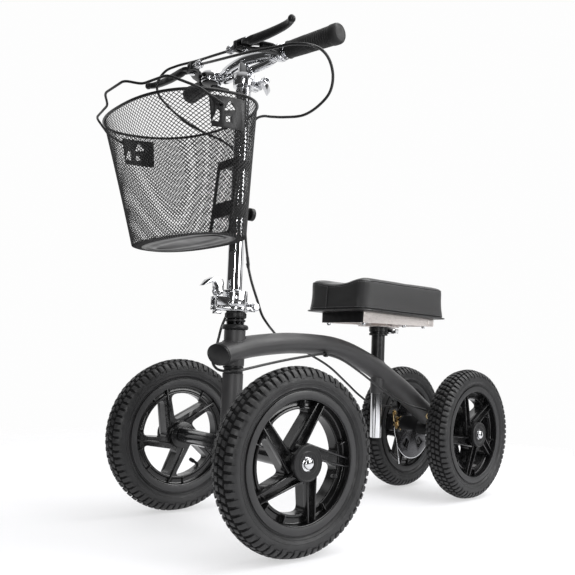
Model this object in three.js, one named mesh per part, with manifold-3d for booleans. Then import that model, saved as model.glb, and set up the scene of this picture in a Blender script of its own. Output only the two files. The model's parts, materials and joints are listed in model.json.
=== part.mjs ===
// Four-wheeled knee scooter: steered front axle with a folding column, a height-adjustable
// handlebar with two brake levers, a wire basket, a knee pad on a telescopic post and
// cable disc brakes on the two rear wheels. Millimetres, +Z up, -Y forward, +X the rider's left.
import * as THREE from "three";
import { mergeVertices } from "three/addons/utils/BufferGeometryUtils.js";
import Module from "manifold-3d";

const wasm = await Module();
wasm.setup();

// ---------------------------------------------------------------- driving dimensions
const GAP = 0.3; // running clearance between neighbouring pieces
const SEG = 24; // facets around a wheel

const TYRE_R = 154; // 12 1/2 inch pneumatic tyre
const TYRE_HALF_W = 28.5;
const RIM_R = 114.6;
const RIM_HALF_W = 23;
const WINDOW_R = 84; // inner edge of the rim web
const SPOKES = 5;
const SPOKE_OFFSET = 20; // distance of a spoke's centre line from the wheel axis
const SPOKE_TILT = 33.4; // degrees, clockwise from up, seen from the wheel's outer face
const HUB_R = 27;
const BORE_R = 8;

const FRONT_TRACK = 394;
const REAR_TRACK = 195;
const WHEELBASE = 677.6;
const AXLE_Z = TYRE_R;

const STEER_REST = -7.4; // degrees the front assembly is turned at rest
const BAR_TWIST = 5; // degrees the handlebar is turned in its clamp, against the wheels
const COLUMN_Y = -6.5; // the column stands a little ahead of the steering axis
const STEERER_R = 12.4; // shaft inside the head tube
const LOWER_STEERER_R = 19.5;
const HEAD_TUBE_R = 20;
const HEAD_TUBE_Z = [301, 368];
const COLUMN_R = 15;
const COLUMN_Z = [414.3, 837];
const STEM_R = 12.5;
const FOLD_PIN = { y: 33, z: 413 };

const BAR_R = 11;
const GRIP_R = 16;
const BAR_HALF = 228;

const TUBE_W = 63; // curved main tube, oval section
const TUBE_H = 42;
const TUBE_WALL = 2.5;
const SLEEVE_R = 15.2;
const POST_R = 12.7;
const POST_Y = 440;

const PAD_Y = [275, 600];
const PAD_HALF_W = 87;
const PAD_Z = [425.3, 497.5];

const BASKET = { zTop: 748.5, zBottom: 517, topA: 164, topB: 115, topY: -144, botA: 154, botB: 66, botY: -115, lean: 0.1 };

const ROTOR_R = 80;
const ROTOR_X = 62; // distance of a brake disc from the centre plane

// the assembly is centred over its outline on the ground
const SHIFT = [-4, -279, 0];

// ---------------------------------------------------------------- materials
const paint = (color, roughness, metalness) => new THREE.MeshStandardMaterial({ color, roughness, metalness });
const FRAME_GREY = [0x4a4b4d, 0.55, 0.3];
const CHROME = [0xd8dadd, 0.12, 1.0];
const BLACK_STEEL = [0x151617, 0.45, 0.6];
const BLACK_CAST = [0x1b1c1e, 0.38, 0.2];
const TYRE_RUBBER = [0x232425, 0.9, 0.0];
const GRIP_RUBBER = [0x1a1a1b, 0.75, 0.0];
const VINYL = [0x1d1d1f, 0.45, 0.0];
const ALLOY = [0xb9b4b0, 0.35, 0.9];
const GOLD = [0xb08a3c, 0.3, 0.9];
const CABLE_BLACK = [0x121213, 0.4, 0.0];

// ---------------------------------------------------------------- helpers
const v2 = (x, y) => new THREE.Vector2(x, y);
const v3 = (x, y, z) => new THREE.Vector3(x, y, z);
const deg = THREE.MathUtils.degToRad;

// a clean indexed closed mesh, facing out
function clean(geometry) {
  const bare = new THREE.BufferGeometry();
  bare.setAttribute("position", geometry.getAttribute("position").clone());
  if (geometry.index) bare.setIndex(geometry.index.clone());
  const g = mergeVertices(bare, 1e-3);
  const p = g.getAttribute("position");
  const idx = g.index.array;
  const kept = [];
  let volume = 0;
  for (let i = 0; i < idx.length; i += 3) {
    const [a, b, c] = [idx[i], idx[i + 1], idx[i + 2]];
    if (a === b || b === c || a === c) continue;
    kept.push(a, b, c);
    const pa = v3().fromBufferAttribute(p, a);
    const pb = v3().fromBufferAttribute(p, b);
    const pc = v3().fromBufferAttribute(p, c);
    volume += pa.dot(pb.cross(pc)) / 6;
  }
  if (volume < 0) {
    for (let i = 0; i < kept.length; i += 3) [kept[i + 1], kept[i + 2]] = [kept[i + 2], kept[i + 1]];
  }
  g.setIndex(kept);
  return g;
}

function toSolid(geometry) {
  const g = clean(geometry);
  return new wasm.Manifold(
    new wasm.Mesh({
      numProp: 3,
      vertProperties: new Float32Array(g.getAttribute("position").array),
      triVerts: new Uint32Array(g.index.array),
    }),
  );
}

function fromSolid(solid) {
  const mesh = solid.getMesh();
  const g = new THREE.BufferGeometry();
  g.setAttribute("position", new THREE.BufferAttribute(new Float32Array(mesh.vertProperties), 3));
  g.setIndex(new THREE.BufferAttribute(new Uint32Array(mesh.triVerts), 1));
  return g;
}

const join = (...geometries) => fromSolid(geometries.map(toSolid).reduce((a, b) => a.add(b)));
const cut = (base, ...tools) => fromSolid(tools.map(toSolid).reduce((a, b) => a.subtract(b), toSolid(base)));

// a solid of revolution: points are [radius, height], the axis is X, Y or Z
function lathe(points, axis = "Z", segments = SEG) {
  const g = new THREE.LatheGeometry(points.map(([r, h]) => v2(r, h)), segments);
  if (axis === "X") g.rotateZ(-Math.PI / 2);
  if (axis === "Z") g.rotateX(Math.PI / 2);
  return clean(g);
}

const rod = (r, from, to, axis = "Z", segments = 16) =>
  lathe([[0, from], [r, from], [r, to], [0, to]], axis, segments);

const ring = (rIn, rOut, from, to, axis = "Z", segments = 16) =>
  lathe([[rIn, from], [rOut, from], [rOut, to], [rIn, to], [rIn, from]], axis, segments);

function box(x0, x1, y0, y1, z0, z1) {
  const g = new THREE.BoxGeometry(x1 - x0, y1 - y0, z1 - z0);
  g.translate((x0 + x1) / 2, (y0 + y1) / 2, (z0 + z1) / 2);
  return clean(g);
}

// a flat shape given as points, extruded along Z
// lifts the corners of a solid that lie between two heights by an amount that depends on y
function raise(geometry, low, high, by) {
  const at = geometry.getAttribute("position");
  for (let i = 0; i < at.count; i++) {
    if (at.getZ(i) > low && at.getZ(i) < high) at.setZ(i, at.getZ(i) + by(at.getY(i)));
  }
}

function slab(points, z0, z1) {
  const shape = new THREE.Shape(points.map(([x, y]) => v2(x, y)));
  const g = new THREE.ExtrudeGeometry(shape, { depth: z1 - z0, bevelEnabled: false });
  g.translate(0, 0, z0);
  return clean(g);
}

// a flat shape in the YZ plane, extruded along X
function slabX(points, x0, x1) {
  const g = slab(points, 0, x1 - x0);
  g.applyMatrix4(new THREE.Matrix4().set(0, 0, 1, x0, 1, 0, 0, 0, 0, 1, 0, 0, 0, 0, 0, 1));
  return g;
}

const ellipse = (a, b, n) =>
  Array.from({ length: n }, (_, i) => v2(a * Math.cos((2 * Math.PI * i) / n), b * Math.sin((2 * Math.PI * i) / n)));

const spline = (points) => new THREE.CatmullRomCurve3(points.map((q) => v3(...q)), false, "centripetal");

// a bar of round or oval section along a curve
function sweep(curve, a, b, steps, sides = 10) {
  const shape = new THREE.Shape(ellipse(a, b, sides));
  return clean(new THREE.ExtrudeGeometry(shape, { steps, extrudePath: curve, bevelEnabled: false }));
}

const cord = (points, r, steps, sides = 5) => sweep(spline(points), r, r, steps, sides);

// turn a piece made along Z so that its axis runs from a to b
function between(geometry, a, b) {
  const q = new THREE.Quaternion().setFromUnitVectors(v3(0, 0, 1), v3(...b).sub(v3(...a)).normalize());
  geometry.applyQuaternion(q);
  geometry.translate(...a);
  return geometry;
}

const mirrored = (geometry) => {
  const g = geometry.clone();
  g.scale(-1, 1, 1);
  return clean(g);
};

const scooter = new THREE.Group();

// turned: true for the steered pieces, "bar" for those turned with the handlebar too
function add(name, geometry, look, turned = false) {
  const g = clean(geometry);
  if (turned === "bar") g.translate(0, -COLUMN_Y, 0).rotateZ(deg(BAR_TWIST)).translate(0, COLUMN_Y, 0);
  if (turned) g.rotateZ(deg(STEER_REST));
  g.translate(...SHIFT);
  g.computeVertexNormals();
  const mesh = new THREE.Mesh(g, paint(...look));
  mesh.name = name;
  scooter.add(mesh);
}

// ---------------------------------------------------------------- wheels
// local frame: axis X, outer face towards +X, hub at the origin

function tyre() {
  const outer = [[20.5, 100.6], [20.5, 116], [TYRE_HALF_W, 133], [23, 149], [0, TYRE_R]];
  const inner = [[15, 100.6], [21, 134]];
  const side = (list, s) => list.map(([h, r]) => [r, s * h]);
  const loop = [
    ...side(outer, 1),
    ...side(outer.slice(0, -1).reverse(), -1),
    ...side(inner, -1),
    ...side(inner.slice().reverse(), 1),
    [100.6, 20.5],
  ];
  return lathe(loop, "X");
}

function magWheel(turn) {
  const rimLoop = [
    [RIM_R, RIM_HALF_W], [RIM_R, 20.8], [100, 20.8], [100, -20.8], [RIM_R, -20.8], [RIM_R, -RIM_HALF_W],
    [102, -RIM_HALF_W], [WINDOW_R, -20], [WINDOW_R, 20], [88, 20], [96, 16], [102, RIM_HALF_W], [RIM_R, RIM_HALF_W],
  ];
  let wheel = toSolid(lathe(rimLoop, "X"));
  const hub = lathe([[0, -26], [HUB_R - 1, -26], [HUB_R, -24], [HUB_R, 24], [HUB_R - 1, 26], [0, 26]], "X", 16);
  wheel = wheel.add(toSolid(hub));
  for (let k = 0; k < SPOKES; k += 1) {
    // along -Y at the hub side, +Z outward; turned to its own angle
    const bar = slabX([[-SPOKE_OFFSET - 12, -6], [-SPOKE_OFFSET + 12, -6], [-SPOKE_OFFSET + 8.5, 86], [-SPOKE_OFFSET - 8.5, 86]], -15, 15);
    const slot = [[-SPOKE_OFFSET - 7.5, 30], [-SPOKE_OFFSET + 7.5, 30], [-SPOKE_OFFSET + 4.8, 76], [-SPOKE_OFFSET - 4.8, 76]];
    const spoke = cut(bar, slabX(slot, 8, 20));
    spoke.rotateX(-deg(SPOKE_TILT + turn + (360 / SPOKES) * k));
    wheel = wheel.add(toSolid(spoke));
  }
  wheel = wheel.subtract(toSolid(rod(BORE_R + GAP, -40, 40, "X")));
  return fromSolid(wheel);
}

const hubCap = () =>
  lathe([[13.3, 26.3], [29.5, 26.3], [29.5, 32], [28, 33.5], [19, 33.5], [17.5, 32], [13.3, 32], [13.3, 26.3]], "X", 16);

const domeNut = (x0) =>
  lathe([[0, x0], [11, x0], [12.4, x0 + 1], [12.4, x0 + 5], [11, x0 + 7.5], [6, x0 + 9.3], [0, x0 + 9.8]], "X", 12);

const rotor = () => {
  const disc = lathe(
    [[BORE_R + GAP, -26.3], [22, -26.3], [22, -34], [ROTOR_R, -34], [ROTOR_R, -36], [BORE_R + GAP, -36], [BORE_R + GAP, -26.3]],
    "X",
  );
  const slots = [];
  for (let k = 0; k < 5; k += 1) {
    const s = slabX([[-8, 38], [8, 38], [13, 60], [-13, 60]], -40, -30);
    s.rotateX(deg(72 * k));
    slots.push(s);
  }
  return cut(disc, ...slots);
};

// each wheel has come to rest at its own angle, in degrees
const WHEELS = [
  { tag: "front_left", onSide: (g) => g, x: FRONT_TRACK / 2, y: 0, turned: true, turn: 0 },
  { tag: "front_right", onSide: mirrored, x: FRONT_TRACK / 2, y: 0, turned: true, turn: 28 },
  { tag: "rear_left", onSide: (g) => g, x: REAR_TRACK / 2, y: WHEELBASE, turned: false, turn: 28 },
  { tag: "rear_right", onSide: mirrored, x: REAR_TRACK / 2, y: WHEELBASE, turned: false, turn: 28 },
];
for (const { tag, onSide, x, y, turned, turn } of WHEELS) {
  const place = (g) => {
    g.translate(x, y, AXLE_Z);
    return onSide(g);
  };
  add(`tyre_${tag}`, place(tyre()), TYRE_RUBBER, turned);
  add(`wheel_${tag}`, place(magWheel(turn)), BLACK_CAST, turned);
  add(`hub_cap_${tag}`, place(hubCap()), BLACK_STEEL, turned);
  add(`wheel_nut_${tag}`, place(domeNut(29)), CHROME, turned);
  if (!turned) add(`brake_disc_${tag}`, place(rotor()), BLACK_STEEL, turned);
}

// ---------------------------------------------------------------- frame
const TUBE_LINE = [
  [0, -35, 321], [0, 20, 335], [0, 70, 342.5], [0, 140, 349], [0, 215, 350], [0, 270, 347.5], [0, 320, 339],
  [0, 367, 325.5], [0, 415, 309], [0, 470, 285], [0, 536, 253], [0, 590, 222], [0, 633, 198], [0, 655, 185],
];
const tubeCurve = spline(TUBE_LINE);
const outerTube = sweep(tubeCurve, TUBE_W / 2, TUBE_H / 2, 13, 14);
const innerLine = [[0, -40, 319.7], ...TUBE_LINE.slice(1, -1), [0, 659, 182.6]];
const innerTube = sweep(spline(innerLine), TUBE_W / 2 - TUBE_WALL, TUBE_H / 2 - TUBE_WALL, 8, 10);
let frame = toSolid(outerTube).subtract(toSolid(innerTube));
frame = frame.add(toSolid(rod(HEAD_TUBE_R, ...HEAD_TUBE_Z)));
const sleeve = rod(SLEEVE_R, 246, 397);
sleeve.translate(0, POST_Y, 0);
frame = frame.add(toSolid(sleeve));
frame = frame.subtract(toSolid(rod(14, 290, 380)));
const sleeveBore = rod(POST_R + GAP, 200, 420);
sleeveBore.translate(0, POST_Y, 0);
frame = frame.subtract(toSolid(sleeveBore));
add("main_tube", fromSolid(frame), FRAME_GREY);

// flat plug closing the tube's front end, square to its first direction
const capTilt = Math.atan2(14, 55);
const cap = slab(ellipse(TUBE_W / 2 - 0.5, TUBE_H / 2 - 0.5, 28).map((q) => [q.x, q.y]), GAP, 4);
cap.rotateX(Math.PI / 2);
cap.rotateX(capTilt);
cap.translate(0, -35, 321);
add("tube_end_cap", cap, BLACK_STEEL);

// rear carrier: cross tube for the axle, a saddle under the tube and two caliper arms
const carrier = [];
const cross = rod(17, -46, 46, "X");
cross.translate(0, WHEELBASE, AXLE_Z);
carrier.push(cross);
carrier.push(slabX([[663, 174], [690, 166], [692, 200], [676, 200], [661.5, 183]], -26, 26));
for (const s of [1, -1]) {
  const arm = slabX([[660, 150], [664, 138], [690, 140], [690, 168], [655, 184], [606, 186], [592, 176], [592, 158], [606, 150]], 0, 5);
  arm.translate(s > 0 ? 41 : -46, 0, 0);
  carrier.push(arm);
}
let carrierSolid = carrier.map(toSolid).reduce((a, b) => a.add(b));
const axleBore = rod(BORE_R + GAP, -60, 60, "X");
axleBore.translate(0, WHEELBASE, AXLE_Z);
carrierSolid = carrierSolid.subtract(toSolid(axleBore));
carrierSolid = carrierSolid.subtract(toSolid(sweep(tubeCurve, TUBE_W / 2 + GAP, TUBE_H / 2 + GAP, 13, 14)));
add("rear_carrier", fromSolid(carrierSolid), BLACK_STEEL);

const rearAxle = rod(BORE_R, -(REAR_TRACK / 2 + 28.7), REAR_TRACK / 2 + 28.7, "X");
rearAxle.translate(0, WHEELBASE, AXLE_Z);
add("rear_axle", rearAxle, CHROME);

// disc calipers ahead of the discs, each with its pull arm on the inner side
const CALIPER = { y: 600, z: 167 };
for (const [tag, s] of [["left", 1], ["right", -1]]) {
  const body = slabX([[-24, -16], [8, -22], [18, -12], [18, 12], [8, 22], [-12, 22], [-24, 8]], -9, 13);
  const bodyCut = cut(body, slabX([[-16, -40], [60, -40], [60, 40], [-16, 40]], -1.6, 3.4));
  bodyCut.translate(ROTOR_X - 1.6 + 0.2, CALIPER.y, CALIPER.z);
  const arm = slabX([[-8, -7], [0, -9], [8, -5], [8, 5], [0, 9], [-6, 10], [-16, 34], [-24, 32], [-20, 8]], -3.5, -0.3);
  arm.translate(ROTOR_X - 10.4, CALIPER.y - 4, CALIPER.z);
  const place = s > 0 ? (g) => g : mirrored;
  add(`caliper_${tag}`, place(bodyCut), GOLD);
  add(`caliper_arm_${tag}`, place(arm), CHROME);
}

// ---------------------------------------------------------------- headset and steerer
add("headset_lower", ring(STEERER_R + GAP, 18.3, 287.3, HEAD_TUBE_Z[0] - GAP), BLACK_STEEL);
add(
  "headset_upper",
  lathe([
    [STEERER_R + GAP, 368.3], [25, 368.3], [25, 372], [22, 373], [22, 380], [18, 381], [18, 402.7],
    [STEERER_R + GAP, 402.7], [STEERER_R + GAP, 368.3],
  ], "Z", 16),
  BLACK_STEEL,
  true,
);

const BEAM_HALF = FRONT_TRACK / 2 - 28;
const beam = [
  lathe([[0, AXLE_Z - 6], [LOWER_STEERER_R, AXLE_Z - 6], [LOWER_STEERER_R, 287], [STEERER_R, 287], [STEERER_R, 409], [0, 409]]),
  rod(15, -BEAM_HALF, BEAM_HALF, "X"),
  rod(BORE_R, -(FRONT_TRACK / 2 + 28.7), FRONT_TRACK / 2 + 28.7, "X"),
];
beam[1].translate(0, 0, AXLE_Z);
beam[2].translate(0, 0, AXLE_Z);
add("steerer_and_axle", join(...beam), FRAME_GREY, true);

// ---------------------------------------------------------------- folding joint at the foot of the column
const lowerPlate = [
  rod(22, 403, 411.4),
  box(-11, 11, -50, 0, 403, 411.4),
  box(-17, -9, 0, FOLD_PIN.y, 403, 411.4),
  box(9, 17, 0, FOLD_PIN.y, 403, 411.4),
];
for (const [x0, x1] of [[-17, -9], [9, 17]]) {
  const ear = rod(7.5, x0, x1, "X", 20);
  ear.translate(0, FOLD_PIN.y, FOLD_PIN.z);
  lowerPlate.push(ear);
}
const pinHole = rod(4 + GAP, -40, 40, "X", 16);
pinHole.translate(0, FOLD_PIN.y, FOLD_PIN.z);
add(
  "fold_base",
  cut(join(...lowerPlate), pinHole, rod(STEERER_R + GAP, 390, 409.3), box(-5, 5, -60, -31, 390, 420)),
  CHROME,
  true,
);

const knuckle = rod(7.5, -8.6, 8.6, "X", 20);
knuckle.translate(0, FOLD_PIN.y, FOLD_PIN.z);
const atColumn = (g) => g.translate(0, COLUMN_Y, 0);
const upperClamp = [
  rod(21, 411.8, 441),
  atColumn(rod(20.5, 411.8, 441)),
  box(-8.6, 8.6, 10, FOLD_PIN.y - 2, 413, 420.5),
  knuckle,
  slab([[-13, -18], [13, -18], [11, -50], [-11, -50]], 411.8, 428),
];
add(
  "fold_clamp",
  cut(join(...upperClamp), pinHole, atColumn(rod(COLUMN_R + GAP, 414, 460)), box(-5, 5, -60, -31, 400, 440)),
  CHROME,
  true,
);

const pin = rod(4, -19, 19, "X", 16);
const pinHead = rod(6.5, 17.3, 21, "X", 16);
const pinNut = rod(6.5, -21, -17.3, "X", 16);
const pinAll = join(pin, pinHead, pinNut);
pinAll.translate(0, FOLD_PIN.y, FOLD_PIN.z);
add("fold_pin", pinAll, CHROME, true);

// eye bolt and cam lever that hold the joint shut
const LATCH = { y: -42, z: 436 };
const boltShank = rod(3.5, 397, LATCH.z - 5, "Z", 16);
const boltFoot = box(-4.4, 4.4, -7, 7, 396, 402.6);
const boltEye = rod(6, -4, 4, "X", 16);
boltEye.translate(0, 0, LATCH.z);
const boltAll = cut(join(boltShank, boltFoot, boltEye), (() => {
  const g = rod(2.5 + GAP, -10, 10, "X", 12);
  g.translate(0, 0, LATCH.z);
  return g;
})());
boltAll.translate(0, LATCH.y, 0);
add("fold_latch_bolt", boltAll, CHROME, true);

const latchSide = [
  [-8, 436], [-5, 429.5], [5, 429.5], [8, 436], [8, 452], [5, 460], [-3, 464], [-14, 463], [-26, 457], [-36, 445], [-24, 450],
  [-10, 455], [-8, 450],
];
const latchLever = cut(slabX(latchSide, -8, 8), box(-4 - GAP, 4 + GAP, -12, 12, 420, 443.5));
const camPin = rod(2.5, -9, 9, "X", 12);
camPin.translate(0, 0, LATCH.z);
const latchAll = join(latchLever, camPin);
latchAll.translate(0, LATCH.y, 0);
add("fold_latch_lever", latchAll, CHROME, true);

// ---------------------------------------------------------------- column and its height clamp
add("column_tube", atColumn(ring(STEM_R + GAP, COLUMN_R, ...COLUMN_Z)), CHROME, true);

const clampBody = [
  rod(21, 837.3, 861.5),
  box(-11, 11, 10, 36, 839.5, 860.5),
];
const clampSlot = box(-1.5, 1.5, 5, 50, 830, 870);
const qrHole = rod(3 + GAP, -30, 30, "X", 12);
qrHole.translate(0, 28, 850);
add("height_clamp", atColumn(cut(join(...clampBody), rod(STEM_R + GAP, 820, 880), clampSlot, qrHole)), CHROME, true);

const qrBarrel = (y, z, reach, drop) => {
  const parts = [
    rod(3, -16, 20, "X", 12),
    rod(6, -18, -11.4, "X", 12),
    rod(6.5, 11.4, 26, "X", 12),
  ];
  const lever = slab([[17, -4], [26, -5], [27, 3], [21, reach * 0.5], [17, reach], [11, reach + 2], [11.8, 17], [15, 4]], -5, 5);
  const all = join(...parts, lever);
  all.rotateX((-drop * Math.PI) / 180);
  all.translate(0, y, z);
  return all;
};
add("height_lever", atColumn(qrBarrel(28, 850, 27, 35)), CHROME, true);

// ---------------------------------------------------------------- handlebar
const GRIP_START = [112, 6, 884];
const GRIP_END = [BAR_HALF, 22, 886];
const flip = (q) => [-q[0], q[1], q[2]];
const gripDir = v3(...GRIP_END).sub(v3(...GRIP_START)).normalize();
const along = (d, s = 1) => {
  const q = v3(...GRIP_START).addScaledVector(gripDir, d);
  return [s * q.x, q.y, q.z];
};
const barSide = [[30, -7.5, 889], [58, -4, 886], along(-34), GRIP_START];
const barPoints = [along(104, -1), along(50, -1), ...barSide.slice().reverse().map(flip), [0, -9, 890], ...barSide, along(50), along(104)];
const braceLine = [[-84, 1.8, 877], [-68, -1, 871], [0, -3, 869.5], [68, -1, 871], [84, 1.8, 877]];
const handlebar = join(
  sweep(spline(barPoints), BAR_R, BAR_R, 20, 12),
  sweep(spline(braceLine), 7.5, 7.5, 6, 8),
  atColumn(rod(STEM_R, 660, 884)),
);
add("handlebar", handlebar, CHROME, "bar");

const grip = () =>
  between(
    lathe([
      [BAR_R + 0.5, 0], [18, 0], [18, 4], [15, 6], [GRIP_R, 108], [GRIP_R + 0.5, 114],
      [14, 117.4], [0, 117.4], [0, 105], [BAR_R + 0.5, 105], [BAR_R + 0.5, 0],
    ], "Z", 16),
    GRIP_START,
    GRIP_END,
  );

const PIVOT = { x: 76, y: -72, z: 876 };
const perch = () => {
  const band = between(ring(BAR_R + 0.5, 16.5, -9, 9), along(-16), GRIP_START);
  const arm = slab([
    [99, -11], [113, -9], [113, -34], [104, -56], [92, -70], [88, -82], [70, -86], [64, -76], [72, -62], [88, -52], [98, -36],
  ], 868.5, 883.5);
  const rise = slab([[99, -11], [113, -9], [112, -24], [99, -24]], 876, 890);
  const fork = slab([[50, -98], [122, -98], [122, -58], [100, -55], [84, -53], [68, -62], [50, -62]], 872.3, 879.7);
  const barrel = between(rod(4.2, 0, 20), [68, -79, 876], [46, -79.4, 875]);
  const lug = slab([[60, -84], [72, -86], [72, -62], [66, -62], [60, -74]], 868.5, 883.5);
  return cut(join(cut(join(arm, rise), fork), band, lug, barrel), sweep(spline(barPoints), BAR_R + 0.5, BAR_R + 0.5, 20, 12));
};
const lever = () => {
  const hub = rod(6.5, 872.6, 879.4);
  hub.translate(PIVOT.x + 6, PIVOT.y, 0);
  const root = slab([[78, -79], [90, -88], [120, -87], [120, -75], [96, -66], [86, -66]], 872.6, 879.4);
  const blade = slab([
    [108, -87], [146, -84], [190, -83], [212, -85], [220, -93], [225, -91], [218, -76], [190, -74], [146, -73], [108, -73],
  ], 866, 880);
  return join(hub, root, blade);
};
// shelf on the right perch that carries the bell, with the bell's thumb lever under the bar
const BELL = { x: -80, y: -30 };
const shelfDisc = rod(15, 857, 860.4, "Z", 20);
shelfDisc.translate(BELL.x, BELL.y, 0);
const thumb = slab([[-86, -24], [-75, -24], [-70, 10], [-79, 13]], 854.5, 858);
const shelf = join(shelfDisc, box(-111, -84, -36, -24, 857, 860.4), box(-111, -101, -36, -24, 857, 872), thumb);

for (const [tag, s] of [["left", 1], ["right", -1]]) {
  const place = s > 0 ? (g) => g : mirrored;
  add(`grip_${tag}`, place(grip()), GRIP_RUBBER, "bar");
  add(`brake_perch_${tag}`, s > 0 ? perch() : join(mirrored(perch()), shelf), BLACK_CAST, "bar");
  add(`brake_lever_${tag}`, place(lever()), BLACK_CAST, "bar");
}

const bell = lathe([[0, 860.8], [15, 860.8], [17.5, 863], [17.5, 879], [15.5, 882], [11, 883.6], [0, 884]], "Z", 20);
bell.translate(BELL.x, BELL.y, 0);
add("bell", bell, CHROME, "bar");

// ---------------------------------------------------------------- brake cables
// upper halves run from the levers to the column, lower halves from there to the calipers
const CABLE_R = 2.5;
const leftUpper = [
  [51, -75, 874.5], [0, -79, 880], [-58, -82, 887], [-122, -92, 893], [-148, -101, 888], [-165, -108, 868], [-168, -104, 846],
  [-164, -82, 824], [-135, -58, 792], [-97, -36, 765], [-58, -10, 742], [-30, 6, 715], [-18, 9, 690], [-17.5, 9, 600],
  [-16.5, 11, 545], [-14, 14.5, 500],
];
const rightUpper = [
  [-38, -83, 874], [20, -86, 862], [126, -80, 846], [184, -70, 838], [217, -58, 837], [240, -42, 833], [251, -24, 827], [251, -6, 816],
  [244, 10, 795], [225, 22, 776], [190, 30, 764], [140, 34, 758], [84, 31, 767],
  [48, 28, 776], [24, 24, 782], [4, 22, 780], [-7, 19, 760], [-8.5, 15.6, 711], [-8.5, 15.6, 600], [-5, 18, 545], [2, 21, 500],
];
add("brake_cable_left_upper", cord(leftUpper, CABLE_R, 28), CABLE_BLACK, true);
add("brake_cable_right_upper", cord(rightUpper, CABLE_R, 32), CABLE_BLACK, true);

const leftLower = [
  [-13.8, 14.9, 497], [-17, 18, 466], [-26, 18, 430], [-30, 6, 402], [-34, -4, 375], [-37, -8, 352], [-37, -14, 330], [-30, -26, 308], [-10, -31, 294.5],
  [8, -27, 291], [22, -10, 292], [26, 14, 297], [27, 60, 306], [28, 110, 315], [28, 170, 324], [28, 228, 330], [27, 280, 320], [26, 339, 297],
  [26, 386, 275], [27, 450, 245], [36, 510, 222], [48, 548, 212], [50, 566, 208],
];
const rightLower = [
  [2.4, 21.4, 497], [6, 31, 462], [5.5, 49, 427], [0, 67, 402], [-12, 95, 385], [-28, 124, 374.5], [-38.5, 150, 364], [-38, 200, 346],
  [-37, 250, 328], [-38, 315, 303], [-41, 379, 268], [-45, 430, 240], [-50, 490, 216], [-51, 540, 211], [-50, 566, 208],
];
add("brake_cable_left_lower", cord(leftLower, CABLE_R, 38), CABLE_BLACK);
add("brake_cable_right_lower", cord(rightLower, CABLE_R, 26), CABLE_BLACK);

const clip = ring(CABLE_R + 1.4, 5.9, -4, 4, "Z", 12);
add("cable_clip", between(clip, [28, 228, 330], [27.9, 229, 330]), BLACK_STEEL);

// ---------------------------------------------------------------- basket
// superelliptic bucket, tapering to a smaller floor set back under the rim
const BASKET_SIDES = 32;
const POWER = 2.4;
const lerp = (a, b, t) => a + (b - a) * t;
function wallPoint(angle, t, inset, z) {
  const a = lerp(BASKET.botA, BASKET.topA, t) - inset;
  const b = lerp(BASKET.botB, BASKET.topB, t) - inset;
  const c = Math.cos(angle);
  const s = Math.sin(angle);
  const x = a * Math.sign(c) * Math.abs(c) ** (2 / POWER);
  const y = b * Math.sign(s) * Math.abs(s) ** (2 / POWER);
  const height = z ?? lerp(BASKET.zBottom, BASKET.zTop, t);
  return v3(x, lerp(BASKET.botY, BASKET.topY, t) + y, height + BASKET.lean * t * y);
}

// closed skin through a list of rings, each end closed by a fan
function loft(rings) {
  const n = rings[0].length;
  const pts = rings.flat();
  const ends = [rings[0], rings[rings.length - 1]].map((r) =>
    r.reduce((sum, q) => sum.add(q), v3(0, 0, 0)).multiplyScalar(1 / n));
  const index = [];
  for (let k = 0; k + 1 < rings.length; k += 1) {
    for (let i = 0; i < n; i += 1) {
      const j = (i + 1) % n;
      index.push(k * n + i, k * n + j, (k + 1) * n + j, k * n + i, (k + 1) * n + j, (k + 1) * n + i);
    }
  }
  const last = (rings.length - 1) * n;
  for (let i = 0; i < n; i += 1) {
    const j = (i + 1) % n;
    index.push(pts.length, j, i, pts.length + 1, last + i, last + j);
  }
  const g = new THREE.BufferGeometry().setFromPoints([...pts, ...ends]);
  g.setIndex(index);
  return clean(g);
}

const basketRings = [
  [0, 7, 517], [0.02, 0, 521.6], [0.5, 0, null], [0.972, 0, null], [0.976, -2.6, 743], [1, -2.6, 747.1], [1, 0, 748.5],
  [1, 2.6, 747.1], [0.97, 1.2, null], [0.5, 1.2, null], [0.03, 1.2, 523.9], [0, 8, 519.2],
].map(([t, inset, z]) =>
  Array.from({ length: BASKET_SIDES }, (_, i) => wallPoint((2 * Math.PI * (i + 0.5)) / BASKET_SIDES, t, inset, z ?? undefined)));
add("basket", loft(basketRings), BLACK_STEEL, true);

// curved plate lying on the basket's side wall, with three windows
function wallPlate(a0, a1, t0, t1, near, far, n) {
  const rings = [];
  for (let i = 0; i <= n; i += 1) {
    const angle = lerp(a0, a1, i / n);
    rings.push([wallPoint(angle, t0, -near), wallPoint(angle, t0, -far), wallPoint(angle, t1, -far), wallPoint(angle, t1, -near)]);
  }
  return loft(rings);
}
const hingePlate = () => {
  const plate = wallPlate(-0.25, 0.22, 0.735, 0.955, 0.9, 2.7, 6);
  const openings = [
    [[-169, 694], [-157, 694], [-157, 711], [-163, 714]],
    [[-150, 714], [-128, 720], [-141, 734]],
    [[-146, 697], [-137, 697], [-137, 707], [-146, 707]],
  ];
  return cut(plate, ...openings.map((outline) => slabX(outline, 150, 190)));
};
const BAIL_PIVOT = { x: 170.6, y: -156.6, z: 721.8 };
const pivotHole = rod(2.4, -200, 200, "X", 12);
pivotHole.translate(0, BAIL_PIVOT.y, BAIL_PIVOT.z);
add("basket_hinge_left", cut(hingePlate(), pivotHole), BLACK_STEEL, true);
add("basket_hinge_right", mirrored(cut(hingePlate(), pivotHole)), BLACK_STEEL, true);

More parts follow.
